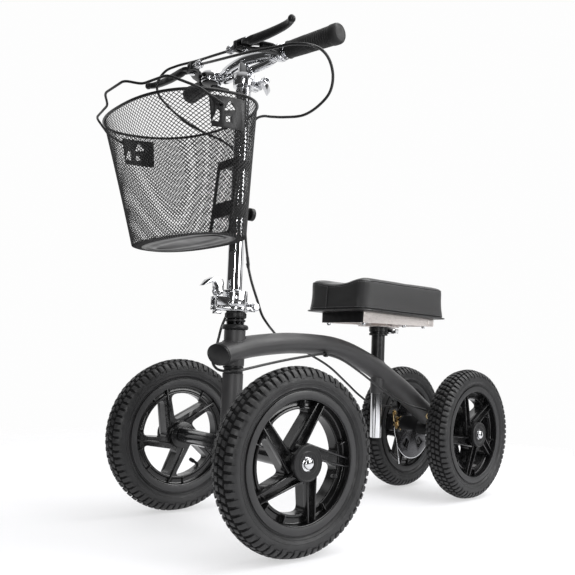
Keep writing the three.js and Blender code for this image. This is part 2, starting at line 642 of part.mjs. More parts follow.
const bailSide = [[39, -269.8, 767], [68.2, -250.8, 758], [139.4, -242.1, 754.7], [170.6, -203, 737.3], [BAIL_PIVOT.x, BAIL_PIVOT.y, BAIL_PIVOT.z]];
function polyline(points, blend) {
  const path = new THREE.CurvePath();
  let start = v3(...points[0]);
  for (let i = 1; i < points.length - 1; i += 1) {
    const corner = v3(...points[i]);
    const before = corner.clone().lerp(v3(...points[i - 1]), blend / corner.distanceTo(v3(...points[i - 1])));
    const after = corner.clone().lerp(v3(...points[i + 1]), blend / corner.distanceTo(v3(...points[i + 1])));
    path.add(new THREE.LineCurve3(start, before));
    path.add(new THREE.QuadraticBezierCurve3(before, corner, after));
    start = after;
  }
  path.add(new THREE.LineCurve3(start, v3(...points[points.length - 1])));
  return path;
}
const bailPoints = [...bailSide.slice().reverse().map(flip), ...bailSide];
const bail = sweep(polyline(bailPoints, 9), 2.1, 2.1, 44, 6);
const bailEnd = rod(2.1, 163.6, BAIL_PIVOT.x + 1.6, "X", 12);
bailEnd.translate(0, BAIL_PIVOT.y, BAIL_PIVOT.z);
add("basket_handle", join(bail, bailEnd, mirrored(bailEnd)), BLACK_STEEL, true);

// ladder plate behind the basket, held to the column by two bands, with a thumb knob
const plateBack = slab([[-37, 540], [37, 540], [37, 690], [-37, 690]], 0, 3.2);
plateBack.applyMatrix4(new THREE.Matrix4().set(1, 0, 0, 0, 0, 0, 1, -46, 0, 1, 0, 0, 0, 0, 0, 1));
const windows = [box(-30, 30, -60, -40, 548, 577), box(-30, 30, -60, -40, 606, 673)];
const ladder = cut(plateBack, ...windows);
ladder.applyMatrix4(new THREE.Matrix4().set(1, 0, 0, 0, 0, 1, 0.0872, -0.0872 * 545, 0, 0, 1, 0, 0, 0, 0, 1));
const bands = [[580, 604, -41], [674, 689, -33.5]].map(([z0, z1, y0]) =>
  join(atColumn(rod(20, z0, z1)), box(-13, 13, y0, COLUMN_Y, z0, z1)));
const knobStem = rod(3.5, 5, 24, "Y", 12);
const knobHead = rod(12.5, 20, 28, "Y", 16);
knobStem.translate(0, 0, 592);
knobHead.translate(0, 0, 592);
const holder = cut(join(ladder, ...bands, knobStem, knobHead), atColumn(rod(COLUMN_R + GAP, 500, 800)));
add("basket_bracket", holder, BLACK_STEEL, true);

// ---------------------------------------------------------------- knee pad and its post
const padProfile = [
  [-80, PAD_Z[0]], [80, PAD_Z[0]], [PAD_HALF_W, 431], [PAD_HALF_W, 487], [80, 495.5], [66, PAD_Z[1]], [48, 494], [28, 489],
  [0, 487], [-28, 489], [-48, 494], [-66, PAD_Z[1]], [-80, 495.5], [-PAD_HALF_W, 487], [-PAD_HALF_W, 431],
];
const pad = slab(padProfile, 0, PAD_Y[1] - PAD_Y[0]);
pad.applyMatrix4(new THREE.Matrix4().set(1, 0, 0, 0, 0, 0, 1, PAD_Y[0], 0, 1, 0, 0, 0, 0, 0, 1));
raise(pad, 470, 600, (y) => (4 * (y - PAD_Y[0])) / (PAD_Y[1] - PAD_Y[0]));
add("knee_pad", pad, VINYL);

// folded alloy tray under the pad, deeper at the front, with closed ends
const skirts = [box(-60, -57, 310, 575, 401, 421), box(57, 60, 310, 575, 401, 421), box(-58, 58, 310, 313, 401, 421), box(-58, 58, 572, 575, 401, 421)];
skirts.forEach((g) => raise(g, 300, 402, (y) => (6 * (y - 310)) / 265));
const socket = rod(20, 401, 421);
socket.translate(0, POST_Y, 0);
const postHole = rod(POST_R + GAP, 390, 416);
postHole.translate(0, POST_Y, 0);
add("pad_bracket", cut(join(box(-60, 60, 310, 575, 420, 425), ...skirts, socket), postHole), ALLOY);

const post = ring(POST_R - 2, POST_R, 146, 415.7, "Z", 24);
post.translate(0, POST_Y, 0);
add("pad_post", post, CHROME);

const collar = cut(
  join(rod(21.5, 379, 398), box(-10, 10, 12, 34, 384, 398)),
  rod(SLEEVE_R + GAP, 370, 410),
  box(-1.5, 1.5, 5, 50, 370, 410),
  (() => {
    const g = rod(3 + GAP, -30, 30, "X", 12);
    g.translate(0, 27, 391);
    return g;
  })(),
);
collar.translate(0, POST_Y, 0);
add("pad_clamp", collar, BLACK_STEEL);
const padLever = qrBarrel(27, 391, 28, 0);
padLever.translate(0, POST_Y, 0);
add("pad_clamp_lever", padLever, CHROME);

export default scooter;
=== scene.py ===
"""Looks of a four-wheeled knee scooter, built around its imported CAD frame.

Shapes are written in millimetres in the scooter's own frame: the origin is on the floor under the
steering axis, -Y is forward, +X the rider's left and +Z up. placing() takes them to the row frame.
"""

import json
import math

import bpy
from mathutils import Matrix, Vector
from mathutils.bvhtree import BVHTree

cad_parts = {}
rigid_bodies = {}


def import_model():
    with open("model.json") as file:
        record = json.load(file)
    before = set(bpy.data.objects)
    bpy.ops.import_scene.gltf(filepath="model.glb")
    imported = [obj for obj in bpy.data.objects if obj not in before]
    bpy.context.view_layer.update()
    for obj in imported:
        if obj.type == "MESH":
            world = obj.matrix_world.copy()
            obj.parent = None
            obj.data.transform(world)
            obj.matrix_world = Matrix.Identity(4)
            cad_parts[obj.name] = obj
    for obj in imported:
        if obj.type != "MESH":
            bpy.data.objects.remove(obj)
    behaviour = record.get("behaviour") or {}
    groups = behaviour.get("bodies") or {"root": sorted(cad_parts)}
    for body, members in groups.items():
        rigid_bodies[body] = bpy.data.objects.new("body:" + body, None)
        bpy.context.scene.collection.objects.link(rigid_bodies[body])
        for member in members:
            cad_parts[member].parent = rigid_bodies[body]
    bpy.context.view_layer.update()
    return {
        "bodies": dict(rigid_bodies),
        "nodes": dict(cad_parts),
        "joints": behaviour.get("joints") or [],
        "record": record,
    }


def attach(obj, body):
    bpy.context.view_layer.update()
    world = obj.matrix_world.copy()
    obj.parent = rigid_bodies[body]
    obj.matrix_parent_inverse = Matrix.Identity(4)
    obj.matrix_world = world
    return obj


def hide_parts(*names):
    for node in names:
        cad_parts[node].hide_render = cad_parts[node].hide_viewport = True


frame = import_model()
NODES = frame["nodes"]
BODY_OF = {n: body for body, names in frame["record"]["behaviour"]["bodies"].items() for n in names}

# ---------------- driving dimensions, in mm
MM = 0.001
STEER_REST = math.radians(-7.4)
BAR_TWIST = math.radians(5)
COLUMN_Y = -6.5
SHIFT = Vector((-4, -279, 0))

TYRE_R = 154
RIM_R = 114.6
RIM_HALF_W = 23
WINDOW_R = 84
SPOKES = 5
SPOKE_TILT = math.radians(33.4)
FRONT_TRACK = 394
REAR_TRACK = 195
ROTOR_X = 62
ROTOR_R = 80
WHEELBASE = 677.6
POST_Y = 440
COLUMN_R = 15
STEM_R = 12.5
BAR_R = 11
BAR_HALF = 228
TUBE_W = 63
TUBE_H = 42
BEAM_SETBACK = 28
MIRROR = Matrix.Scale(-1, 4, (1, 0, 0))
WHITE = (1, 1, 1, 1)


# ---------------- placing
def placing(turned):
    """Matrix from the scooter's own frame to the row frame; turned is False, True or 'bar'."""
    m = Matrix.Scale(MM, 4) @ Matrix.Translation(SHIFT)
    if turned:
        m = m @ Matrix.Rotation(STEER_REST, 4, "Z")
    if turned == "bar":
        to_axis = Matrix.Translation((0, COLUMN_Y, 0))
        m = m @ to_axis @ Matrix.Rotation(BAR_TWIST, 4, "Z") @ to_axis.inverted()
    return m


# ---------------- mesh helpers
def linked(name, data):
    """A new object in the scene."""
    obj = bpy.data.objects.new(name, data)
    bpy.context.scene.collection.objects.link(obj)
    return obj


def mesh_of(verts, faces):
    mesh = bpy.data.meshes.new("shape")
    mesh.from_pydata([tuple(v) for v in verts], [], [tuple(f) for f in faces])
    mesh.validate()
    mesh.update()
    return mesh


def evaluated(mesh, *modifiers):
    """The mesh with modifiers applied; each is (type, {setting: value})."""
    obj = linked("work", mesh)
    for kind, settings in modifiers:
        m = obj.modifiers.new(kind, kind)
        for key, value in settings.items():
            setattr(m, key, value)
    bpy.context.view_layer.update()
    out = bpy.data.meshes.new_from_object(obj.evaluated_get(bpy.context.evaluated_depsgraph_get()))
    bpy.data.objects.remove(obj)
    return out


def bevelled(mesh, width, segments=2, angle=30):
    settings = {"width": width, "segments": segments, "limit_method": "ANGLE",
                "angle_limit": math.radians(angle)}
    return evaluated(mesh, ("BEVEL", settings | {"harden_normals": False, "use_clamp_overlap": True}))


def cut(mesh, *tools):
    for tool in tools:
        other = linked("tool", tool)
        mesh = evaluated(mesh, ("BOOLEAN", {"operation": "DIFFERENCE", "solver": "EXACT", "object": other}))
        bpy.data.objects.remove(other)
    return mesh


def merged(*meshes):
    verts, faces = [], []
    for mesh in meshes:
        base = len(verts)
        verts += [v.co.copy() for v in mesh.vertices]
        faces += [[base + i for i in p.vertices] for p in mesh.polygons]
    return mesh_of(verts, faces)


def moved(mesh, matrix):
    out = mesh.copy()
    out.transform(matrix)
    if matrix.determinant() < 0:
        out.flip_normals()
    return out


def shifted(mesh, x, y, z):
    return moved(mesh, Matrix.Translation((x, y, z)))


def mirrored(mesh):
    return moved(mesh, MIRROR)


AXES = {
    "X": Matrix(((0, 0, 1, 0), (1, 0, 0, 0), (0, 1, 0, 0), (0, 0, 0, 1))),
    "Y": Matrix(((0, 1, 0, 0), (0, 0, 1, 0), (1, 0, 0, 0), (0, 0, 0, 1))),
    "Z": Matrix.Identity(4),
}


def bend(start, corner, end, steps):
    """Points of the quadratic curve from start to end that is drawn towards corner."""
    return [start * (1 - t) ** 2 + corner * (2 * t * (1 - t)) + end * t * t
            for t in (k / steps for k in range(steps + 1))]


def rounded(points, radius, steps=3, closed=False):
    """A line of points with its corners rounded."""
    pts = [Vector(p) for p in points]
    n = len(pts)
    out = []
    for i, p in enumerate(pts):
        if not closed and i in (0, n - 1):
            out.append(p)
            continue
        a, b = pts[i - 1] - p, pts[(i + 1) % n] - p
        d = min(radius, a.length * 0.45, b.length * 0.45)
        out += bend(p + a.normalized() * d, p, p + b.normalized() * d, steps)
    return [tuple(p) for p in out]


def circle(count, r=1.0, r2=None):
    """Corners of a regular outline, or of an oval one when r2 is given."""
    turns = [2 * math.pi * k / count for k in range(count)]
    return [(r * math.cos(a), (r2 or r) * math.sin(a)) for a in turns]


def signed_power(value, power):
    return math.copysign(abs(value) ** power, value)


def row_faces(count, n, closed=False):
    """Faces that join count rows of n points, each row to the next."""
    pairs = [(i, (i + 1) % count) for i in range(count if closed else count - 1)]
    return [(i * n + k, i * n + (k + 1) % n, j * n + (k + 1) % n, j * n + k) for i, j in pairs
            for k in range(n)]


def end_faces(count, n):
    return [tuple(range(n))[::-1], tuple(range((count - 1) * n, count * n))]


def skin(rows, closed=False, capped=True):
    """A surface through rows of points, all rows of one length."""
    count, n = len(rows), len(rows[0])
    faces = row_faces(count, n, closed) + (end_faces(count, n) if capped else [])
    return facing_out(mesh_of([p for row in rows for p in row], faces))


def lathe(profile, axis="Z", segments=64, ring=False, round_by=0.0):
    """A solid of revolution from [radius, height] points; ring closes the profile on itself."""
    if round_by:
        profile = rounded(profile, round_by, closed=ring)
    rows = [[(r * c, r * s, h) for c, s in circle(segments)] for r, h in profile]
    mesh = evaluated(skin(rows, ring, False), ("WELD", {"merge_threshold": 1e-4}))
    mesh.transform(AXES[axis])
    return mesh


def facing_out(mesh):
    volume = 0.0
    for p in mesh.polygons:
        a = mesh.vertices[p.vertices[0]].co
        for i in range(1, len(p.vertices) - 1):
            b, c = mesh.vertices[p.vertices[i]].co, mesh.vertices[p.vertices[i + 1]].co
            volume += a.dot(b.cross(c))
    if volume < 0:
        mesh.flip_normals()
    return mesh


def rod(r, low, high, axis="Z", segments=40, edge=0.6):
    return lathe([(0, low), (r, low), (r, high), (0, high)], axis, segments, round_by=edge)


def tube(inner, outer, low, high, axis="Z", segments=48, edge=0.5):
    return lathe([(inner, low), (outer, low), (outer, high), (inner, high)], axis, segments, True, edge)


def prism(outline, low, high, axis="Z", bevel=0.6):
    """A flat outline extruded along an axis; axis X reads the outline as (y, z), Y as (z, x)."""
    n = len(outline)
    verts = [(x, y, z) for z in (low, high) for x, y in outline]
    mesh = facing_out(mesh_of(verts, end_faces(2, n) + row_faces(2, n)))
    mesh.transform(AXES[axis])
    return bevelled(mesh, bevel) if bevel else mesh


def plate(outline, corner, low, high, bevel, steps=3):
    """A level plate with rounded corners."""
    return prism(rounded(outline, corner, steps, closed=True), low, high, "Z", bevel)


def box(x0, x1, y0, y1, z0, z1, bevel=0.6):
    return prism([(x0, y0), (x1, y0), (x1, y1), (x0, y1)], z0, z1, "Z", bevel)


def between(mesh, a, b):
    """Turn a mesh made along Z so that its axis runs from a towards b."""
    a, b = Vector(a), Vector(b)
    turn = Vector((0, 0, 1)).rotation_difference((b - a).normalized()).to_matrix().to_4x4()
    return moved(mesh, Matrix.Translation(a) @ turn)


def catmull(points, per=8, closed=False):
    """Centripetal Catmull-Rom curve through points, with per steps in each span."""
    pts = [Vector(p) for p in points]
    n = len(pts)
    if closed:
        padded = [pts[-1], *pts, pts[0], pts[1]]
    else:
        padded = [pts[0] * 2 - pts[1], *pts, pts[-1] * 2 - pts[-2]]
    out = []
    for i in range(n if closed else n - 1):
        p0, p1, p2, p3 = padded[i : i + 4]
        t1 = max((p1 - p0).length, 1e-6) ** 0.5
        t2 = t1 + max((p2 - p1).length, 1e-6) ** 0.5
        t3 = t2 + max((p3 - p2).length, 1e-6) ** 0.5
        for k in range(per):
            t = t1 + (t2 - t1) * k / per
            a1 = p0 * ((t1 - t) / t1) + p1 * (t / t1)
            a2 = p1 * ((t2 - t) / (t2 - t1)) + p2 * ((t - t1) / (t2 - t1))
            a3 = p2 * ((t3 - t) / (t3 - t2)) + p3 * ((t - t2) / (t3 - t2))
            b1 = a1 * ((t2 - t) / t2) + a2 * (t / t2)
            b2 = a2 * ((t3 - t) / (t3 - t1)) + a3 * ((t - t1) / (t3 - t1))
            out.append(b1 * ((t2 - t) / (t2 - t1)) + b2 * ((t - t1) / (t2 - t1)))
    if not closed:
        out.append(pts[-1])
    return out


def sweep(path, a, b=None, sides=20, closed=False, side=None):
    """A tube of round or oval section along a list of points; side fixes the section's first axis."""
    path = [Vector(p) for p in path]
    n = len(path)
    tangents = []
    for i in range(n):
        before = path[i - 1] if (i or closed) else path[i]
        after = path[(i + 1) % n] if (i < n - 1 or closed) else path[i]
        tangents.append((after - before).normalized())
    normal = tangents[0].orthogonal().normalized()
    rows = []
    for i, (p, t) in enumerate(zip(path, tangents)):
        if side:
            normal = Vector(side)
        elif i:
            normal = tangents[i - 1].rotation_difference(t) @ normal
        normal = (normal - t * normal.dot(t)).normalized()
        other = t.cross(normal)
        rows.append([p + normal * u + other * v for u, v in circle(sides, a, b)])
    return skin(rows, closed, not closed)


# ---------------- pieces
def piece(name, mesh, material, stands_for=(), turned=False, rides=None, sharp=35):
    """One shown object: placed in the row frame, riding the body of what it stands for."""
    mesh = moved(mesh, placing(turned))
    mesh.name = name
    mesh.materials.clear()
    mesh.materials.append(material)
    mesh.shade_smooth()
    mesh.set_sharp_from_angle(angle=math.radians(sharp))
    obj = linked(name, mesh)
    near = [stands_for] if isinstance(stands_for, str) else list(stands_for)
    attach(obj, BODY_OF[rides or near[0]])
    if near:
        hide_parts(*near)
    return obj


def extra(name, mesh, material, rides, turned=False):
    """A shown object that stands for no CAD node and moves with the CAD node named by rides."""
    return piece(name, mesh, material, (), turned, rides)


def keep(node, material, bevel=0.6, angle=32):
    """A CAD node that shows as it is, with its edges softened and its own finish."""
    obj = NODES[node]
    obj.data.materials.clear()
    obj.data.materials.append(material)
    obj.modifiers.new("weld", "WELD").merge_threshold = 2e-5
    m = obj.modifiers.new("bevel", "BEVEL")
    m.width = bevel * MM
    m.segments = 2
    m.limit_method = "ANGLE"
    m.angle_limit = math.radians(angle)
    m.harden_normals = True
    for p in obj.data.polygons:
        p.use_smooth = True


# ---------------- materials
class Finish:
    """A Principled material whose colour, roughness and bump come from procedural nodes."""

    def __init__(self, name, metallic=0.0, roughness=0.5, **sockets):
        self.material = bpy.data.materials.new(name)
        self.material.use_nodes = True
        self.tree = self.material.node_tree
        self.shader = self.tree.nodes["Principled BSDF"]
        self.shader.inputs["Metallic"].default_value = metallic
        self.shader.inputs["Roughness"].default_value = roughness
        for key, value in sockets.items():
            self.shader.inputs[key.replace("_", " ")].default_value = value
        self.coords = self.tree.nodes.new("ShaderNodeTexCoord").outputs["Object"]
        self.bumps = None

    def plug(self, socket, value):
        """Link the socket to value when value is an output; set it otherwise."""
        if isinstance(value, bpy.types.NodeSocket):
            self.tree.links.new(value, socket)
        else:
            socket.default_value = value

    def node(self, kind, settings=None, **inputs):
        n = self.tree.nodes.new(kind)
        for key, value in (settings or {}).items():
            setattr(n, key, value)
        for key, value in inputs.items():
            self.plug(n.inputs[key.replace("_", " ")], value)
        return n

    def noise(self, scale, detail=3.0, stretch=None, roughness=0.5):
        at = self.coords
        if stretch:
            at = self.node("ShaderNodeMapping", Vector=at, Scale=stretch).outputs[0]
        n = self.node("ShaderNodeTexNoise", Vector=at, Scale=scale, Detail=detail, Roughness=roughness)
        return n.outputs["Fac"]

    def pebbles(self, scale):
        n = self.node("ShaderNodeTexVoronoi", {"feature": "SMOOTH_F1"}, Vector=self.coords, Scale=scale)
        return n.outputs["Distance"]

    def ramp(self, value, *stops):
        n = self.node("ShaderNodeValToRGB", Fac=value)
        n.color_ramp.elements[0].position, n.color_ramp.elements[1].position = stops[0][0], stops[-1][0]
        n.color_ramp.elements[0].color = (*stops[0][1], 1)
        n.color_ramp.elements[1].color = (*stops[-1][1], 1)
        for at, colour in stops[1:-1]:
            n.color_ramp.elements.new(at).color = (*colour, 1)
        return n.outputs["Color"]

    def span(self, value, low, high, from_low=0.3, from_high=0.7):
        n = self.node("ShaderNodeMapRange", {"clamp": True}, Value=value)
        for key, v in (("From Min", from_low), ("From Max", from_high), ("To Min", low), ("To Max", high)):
            n.inputs[key].default_value = v
        return n.outputs["Result"]

    def math(self, operation, a, b=0.0):
        n = self.node("ShaderNodeMath", {"operation": operation})
        self.plug(n.inputs[0], a)
        self.plug(n.inputs[1], b)
        return n.outputs[0]

    def set(self, socket, value):
        self.tree.links.new(value, self.shader.inputs[socket])

    def bump(self, height, depth_mm, strength=1.0):
        n = self.node("ShaderNodeBump", Height=height, Strength=strength, Distance=depth_mm * MM)
        if self.bumps:
            self.tree.links.new(self.bumps, n.inputs["Normal"])
        self.bumps = n.outputs["Normal"]
        self.set("Normal", self.bumps)

    def edge_wear(self, amount):
        """Mask of worn edges, from the surface's own curvature."""
        point = self.node("ShaderNodeNewGeometry").outputs["Pointiness"]
        patch = self.noise(90, 4)
        return self.math("MULTIPLY", self.span(point, 0, 1, 0.53, 0.6), self.span(patch, 0, amount, 0.4, 0.7))

    def mix(self, factor, a, b):
        n = self.node("ShaderNodeMix", {"data_type": "RGBA"})
        for index, value in ((0, factor), (6, a), (7, (*b, 1))):
            self.plug(n.inputs[index], value)
        return n.outputs[2]


def from_noise(name, metallic, roughness, tones, gloss=None, bumps=(), wear=None, at=(0.3, 0.7), **sockets):
    """A finish whose values all come from noise, each noise written (scale, detail, stretch, roughness).

    tones: a noise with a dark and a pale colour, met at its values at. gloss: a noise with the lowest and
    the highest roughness. bumps: noise, depth in mm and strength. wear: its amount and its colour.
    """
    f = Finish(name, metallic, roughness, **sockets)
    noise, dark, pale = tones
    colour = f.ramp(f.noise(*noise), (at[0], dark), (at[1], pale))
    if wear:
        colour = f.mix(f.edge_wear(wear[0]), colour, wear[1])
    f.set("Base Color", colour)
    if gloss:
        f.set("Roughness", f.span(f.noise(*gloss[0]), *gloss[1:]))
    for noise, depth, strength in bumps:
        f.bump(f.noise(*noise), depth, strength)
    return f


def satin_black(name="satin_black", low=0.30, high=0.42, tone=0.009, shine=0.28):
    tones = ((14, 4), (tone, tone, tone * 1.05), (tone * 1.6, tone * 1.6, tone * 1.68))
    return from_noise(name, 0.0, 0.36, tones, ((45, 4), low, high), [((900, 2), 0.04, 0.4)],
                      (0.3, (0.07, 0.07, 0.072)), Specular_IOR_Level=shine).material


def vinyl():
    """Smooth upholstery vinyl with a fine pebble grain and faint creases."""
    f = from_noise("vinyl_top", 0.0, 0.34, ((18, 4), (0.008, 0.008, 0.0085), (0.013, 0.013, 0.0135)),
                   ((60, 4), 0.24, 0.36), Specular_IOR_Level=0.5)
    f.bump(f.pebbles(820), 0.10, 0.5)
    f.bump(f.noise(34, 4), 0.5, 0.16)
    return f.material


def weave_vinyl():
    """Side panels: vinyl embossed with a small diagonal twill."""
    f = Finish("vinyl_twill", 0.0, 0.36, Specular_IOR_Level=0.5)
    parts = f.node("ShaderNodeSeparateXYZ", Vector=f.coords)
    along = f.math("ADD", parts.outputs["X"], parts.outputs["Y"])
    turn = 2 * math.pi / 0.0042
    rise = f.math("SUBTRACT", along, f.math("MULTIPLY", parts.outputs["Z"], 1.5))
    one = f.math("SINE", f.math("MULTIPLY", rise, turn))
    two = f.math("SINE", f.math("MULTIPLY", f.math("ADD", along, parts.outputs["Z"]), turn * 2))
    weave = f.math("ADD", f.math("MULTIPLY", one, 0.38), f.math("MULTIPLY", two, 0.1))
    height = f.math("ADD", weave, 0.5)
    f.set("Base Color", f.ramp(height, (0.2, (0.008, 0.008, 0.0085)), (0.85, (0.019, 0.019, 0.0195))))
    f.set("Roughness", f.span(height, 0.46, 0.28, 0.2, 0.85))
    f.bump(height, 0.4, 1.0)
    f.bump(f.noise(30, 4), 0.5, 0.15)
    return f.material


STREAKS = (110, 5, (14, 1, 14))
GRIND = (320, 4)
GREY = from_noise(
    "powder_coat_grey", 0.0, 0.5, ((9, 4), (0.034, 0.0335, 0.0345), (0.042, 0.0415, 0.0425)),
    ((30, 4), 0.40, 0.52), [((1400, 2), 0.05, 0.5)], (0.4, (0.12, 0.12, 0.125)),
                  Specular_IOR_Level=0.45).material
GLOSS = from_noise(
    "gloss_black_paint", 0.0, 0.18, ((12, 3), (0.006, 0.006, 0.007), (0.011, 0.011, 0.012)),
    ((60, 4), 0.16, 0.3), [((240, 2), 0.05, 0.3)], Coat_Weight=0.6, Coat_Roughness=0.08).material
BLACK = satin_black()
CAST = satin_black("wheel_casting", 0.14, 0.24, 0.004, 0.5)
# Painted light: the rim's outer faces get a paler black than the spokes, for the light they face.
FLANGE_LIT = satin_black("rim_flange_painted_light", 0.42, 0.52, 0.016, 0.5)
PLASTIC = satin_black("moulded_plastic", 0.34, 0.46, 0.009, 0.35)
WIRE = satin_black("coated_wire", 0.3, 0.4, 0.006, 0.25)
# Painted shade: a near-black sheet over the tread floor, darkening the gaps between the blocks.
GROOVE_SHADE = satin_black("tread_groove_shade", 0.6, 0.75, 0.004, 0.2)
CHROME = from_noise(
    "chrome_plate", 1.0, 0.06, ((20, 3), (0.66, 0.665, 0.68), (0.76, 0.765, 0.78)),
    ((60, 5, (1, 1, 0.12)), 0.035, 0.12), [((55, 2), 0.05, 0.15)]).material
CAST_CHROME = from_noise(
    "cast_chrome", 1.0, 0.14, ((30, 4), (0.56, 0.565, 0.58), (0.72, 0.725, 0.74)),
    ((120, 4), 0.09, 0.24), [((160, 3), 0.12, 0.4)]).material
ALLOY = from_noise(
    "brushed_alloy", 0.6, 0.34, (STREAKS, (0.74, 0.68, 0.65), (0.88, 0.83, 0.80)),
    (STREAKS, 0.26, 0.42), [(STREAKS, 0.03, 0.5)], Anisotropic=0.5).material
STEEL = from_noise(
    "disc_steel", 1.0, 0.3, (GRIND, (0.050, 0.050, 0.053), (0.095, 0.095, 0.10)),
    (GRIND, 0.18, 0.34), [(GRIND, 0.02, 0.4)]).material
GOLD = from_noise(
    "gold_anodised", 1.0, 0.28, ((60, 4), (0.50, 0.36, 0.17), (0.78, 0.62, 0.36)),
    ((150, 4), 0.2, 0.36), [((500, 2), 0.04, 0.4)]).material
TYRE = from_noise(
    "tyre_rubber", 0.0, 0.62, ((26, 6, None, 0.62), (0.011, 0.011, 0.0115), (0.024, 0.024, 0.025)),
    ((70, 5), 0.40, 0.60), [((650, 3), 0.12, 0.5), ((90, 3), 0.2, 0.25)], at=(0.32, 0.72),
    Specular_IOR_Level=0.42).material
GRIP = from_noise(
    "grip_rubber", 0.0, 0.6, ((40, 4), (0.011, 0.011, 0.011), (0.021, 0.021, 0.021)),
    ((90, 4), 0.5, 0.68), [((1100, 2), 0.08, 0.5)], Specular_IOR_Level=0.4).material
VINYL = vinyl()
TWILL = weave_vinyl()
THREAD = from_noise(
    "stitch_thread", 0.0, 0.7, ((1500, 2), (0.14, 0.14, 0.145), (0.24, 0.24, 0.245)),
    bumps=[((2500, 2), 0.1, 0.6)]).material
SHEATH = from_noise(
    "cable_sheath", 0.0, 0.34, ((60, 3), (0.007, 0.007, 0.0075), (0.013, 0.013, 0.0135)),
    ((140, 3), 0.28, 0.42), [((700, 2), 0.05, 0.4)], Specular_IOR_Level=0.5).material


# ---------------- camera, light and floor
def look(azimuth, elevation, roll):
    """Rotation of a camera that looks back along the given direction, rolled about it."""
    across, level = math.sin(azimuth) * math.cos(elevation), math.cos(azimuth) * math.cos(elevation)
    back = Vector((across, -level, math.sin(elevation)))
    right = Vector((math.cos(azimuth), math.sin(azimuth), 0))
    up = back.cross(right)
    rolled_right = right * math.cos(roll) + up * math.sin(roll)
    rolled_up = up * math.cos(roll) - right * math.sin(roll)
    return Matrix((rolled_right, rolled_up, back)).transposed().to_4x4()


CAMERA_AT = (1005.98, -872.94, 324.11)
CAMERA_ANGLES = (0.7843, -0.09614, 0.04086)  # azimuth, elevation and roll, in radians
CAMERA_LENS = 44.13


def camera():
    data = bpy.data.cameras.new("camera")
    data.sensor_width = 36
    data.lens = CAMERA_LENS
    obj = linked("camera", data)
    place = (Vector(CAMERA_AT) + SHIFT) * MM
    obj.matrix_world = Matrix.Translation(place) @ look(*CAMERA_ANGLES)
    bpy.context.scene.camera = obj


def area_light(name, at, towards, size, power):
    data = bpy.data.lights.new(name, "AREA")
    data.shape = "RECTANGLE"
    data.size, data.size_y = size
    data.energy = power
    obj = linked(name, data)
    direction = Vector(towards) - Vector(at)
    obj.matrix_world = Matrix.Translation(at) @ direction.to_track_quat("-Z", "Y").to_matrix().to_4x4()
    obj.visible_camera = False


def surroundings():
    """White to the camera; to the object, a white sweep behind it, a pale ceiling, a dark room in front."""
    world = bpy.data.worlds.new("studio")
    bpy.context.scene.world = world
    world.use_nodes = True
    tree = world.node_tree

    def node(kind, *inputs, **settings):
        n = tree.nodes.new(kind)
        for key, value in settings.items():
            setattr(n, key, value)
        for socket, value in zip(n.inputs, inputs):
            if isinstance(value, bpy.types.NodeSocket):
                tree.links.new(value, socket)
            elif value is not None:
                socket.default_value = value
        return n

    towards = tree.nodes.new("ShaderNodeTexCoord").outputs["Generated"]
    front = node("ShaderNodeVectorMath", towards, (0.64, -0.76, 0), operation="DOT_PRODUCT").outputs["Value"]
    behind = node("ShaderNodeMapRange", front, -0.25, -0.55, 0.0, 1.0,
                  interpolation_type="SMOOTHSTEP").outputs[0]
    height = node("ShaderNodeSeparateXYZ", towards).outputs["Z"]
    above = node("ShaderNodeMapRange", height, 0.42, 0.75, 0.0, 0.75,
                 interpolation_type="SMOOTHSTEP").outputs[0]
    light = node("ShaderNodeMath", behind, above, operation="MAXIMUM").outputs[0]
    light = node("ShaderNodeMath", light, 0.05, operation="MAXIMUM").outputs[0]
    seen = tree.nodes.new("ShaderNodeLightPath").outputs["Is Camera Ray"]
    room = node("ShaderNodeMix", seen, None, light, 0.985, data_type="FLOAT").outputs[0]
    tree.links.new(room, tree.nodes["Background"].inputs["Strength"])
    tree.nodes["Background"].inputs["Color"].default_value = WHITE


def floor():
    """A white sweep that fades into the background away from the object."""
    reach = 3
    corners = [(-reach, -reach, 0), (reach, -reach, 0), (reach, reach, 0), (-reach, reach, 0)]
    obj = linked("floor", mesh_of(corners, [(0, 1, 2, 3)]))
    f = Finish("floor_white", 0.0, 0.7, Specular_IOR_Level=0.2)
    f.set("Base Color", f.ramp(f.noise(0.6, 2), (0.3, (0.42, 0.42, 0.435)), (0.7, (0.43, 0.43, 0.445))))
    f.shader.inputs["Emission Color"].default_value = WHITE
    f.shader.inputs["Emission Strength"].default_value = 0.53
    away = f.node("ShaderNodeVectorMath", {"operation": "LENGTH"}, Vector=f.coords).outputs["Value"]
    f.set("Alpha", f.span(away, 1.0, 0.0, 0.8, 1.7))
    obj.data.materials.append(f.material)


def studio():
    bpy.context.scene.view_settings.view_transform = "Standard"
    surroundings()
    floor()
    area_light("top", (0.8, 0.7, 2.5), (0.0, 0, 0), (2.2, 2.2), 58)
    area_light("side", (2.5, 0.9, 1.1), (0, 0, 0.4), (1.1, 1.6), 40)
    area_light("strip", (1.9, -2.2, 0.9), (0, 0.1, 0.45), (0.22, 1.5), 26)
    area_light("left", (-2.2, -1.2, 1.5), (0, 0, 0.5), (0.5, 1.6), 2)


camera()
studio()


# ---------------- wheels, axis X, outer face towards +X
def carcass():
    """The tyre's smooth casing, from bead to bead, with moulded ring lines on the sidewalls."""
    half = [
        (100.8, 20.4), (116.3, 20.6), (118.2, 22.6), (119.4, 23.9), (119.9, 24.9), (121.0, 24.9),
            (121.5, 24.7),
        (124.5, 26.4), (125.3, 26.9), (125.7, 27.5), (126.9, 27.6), (127.3, 27.1), (130.5, 27.6),
            (134.0, 27.4),
        (137.5, 26.5), (141.0, 24.4), (144.5, 20.6), (147.2, 15.4), (149.2, 8.6), (149.8, 0),
    ]
    loop = half + [(r, -h) for r, h in half[-2::-1]] + [(134, -20), (134, 20)]
    return lathe(loop, "X", 136, ring=True)


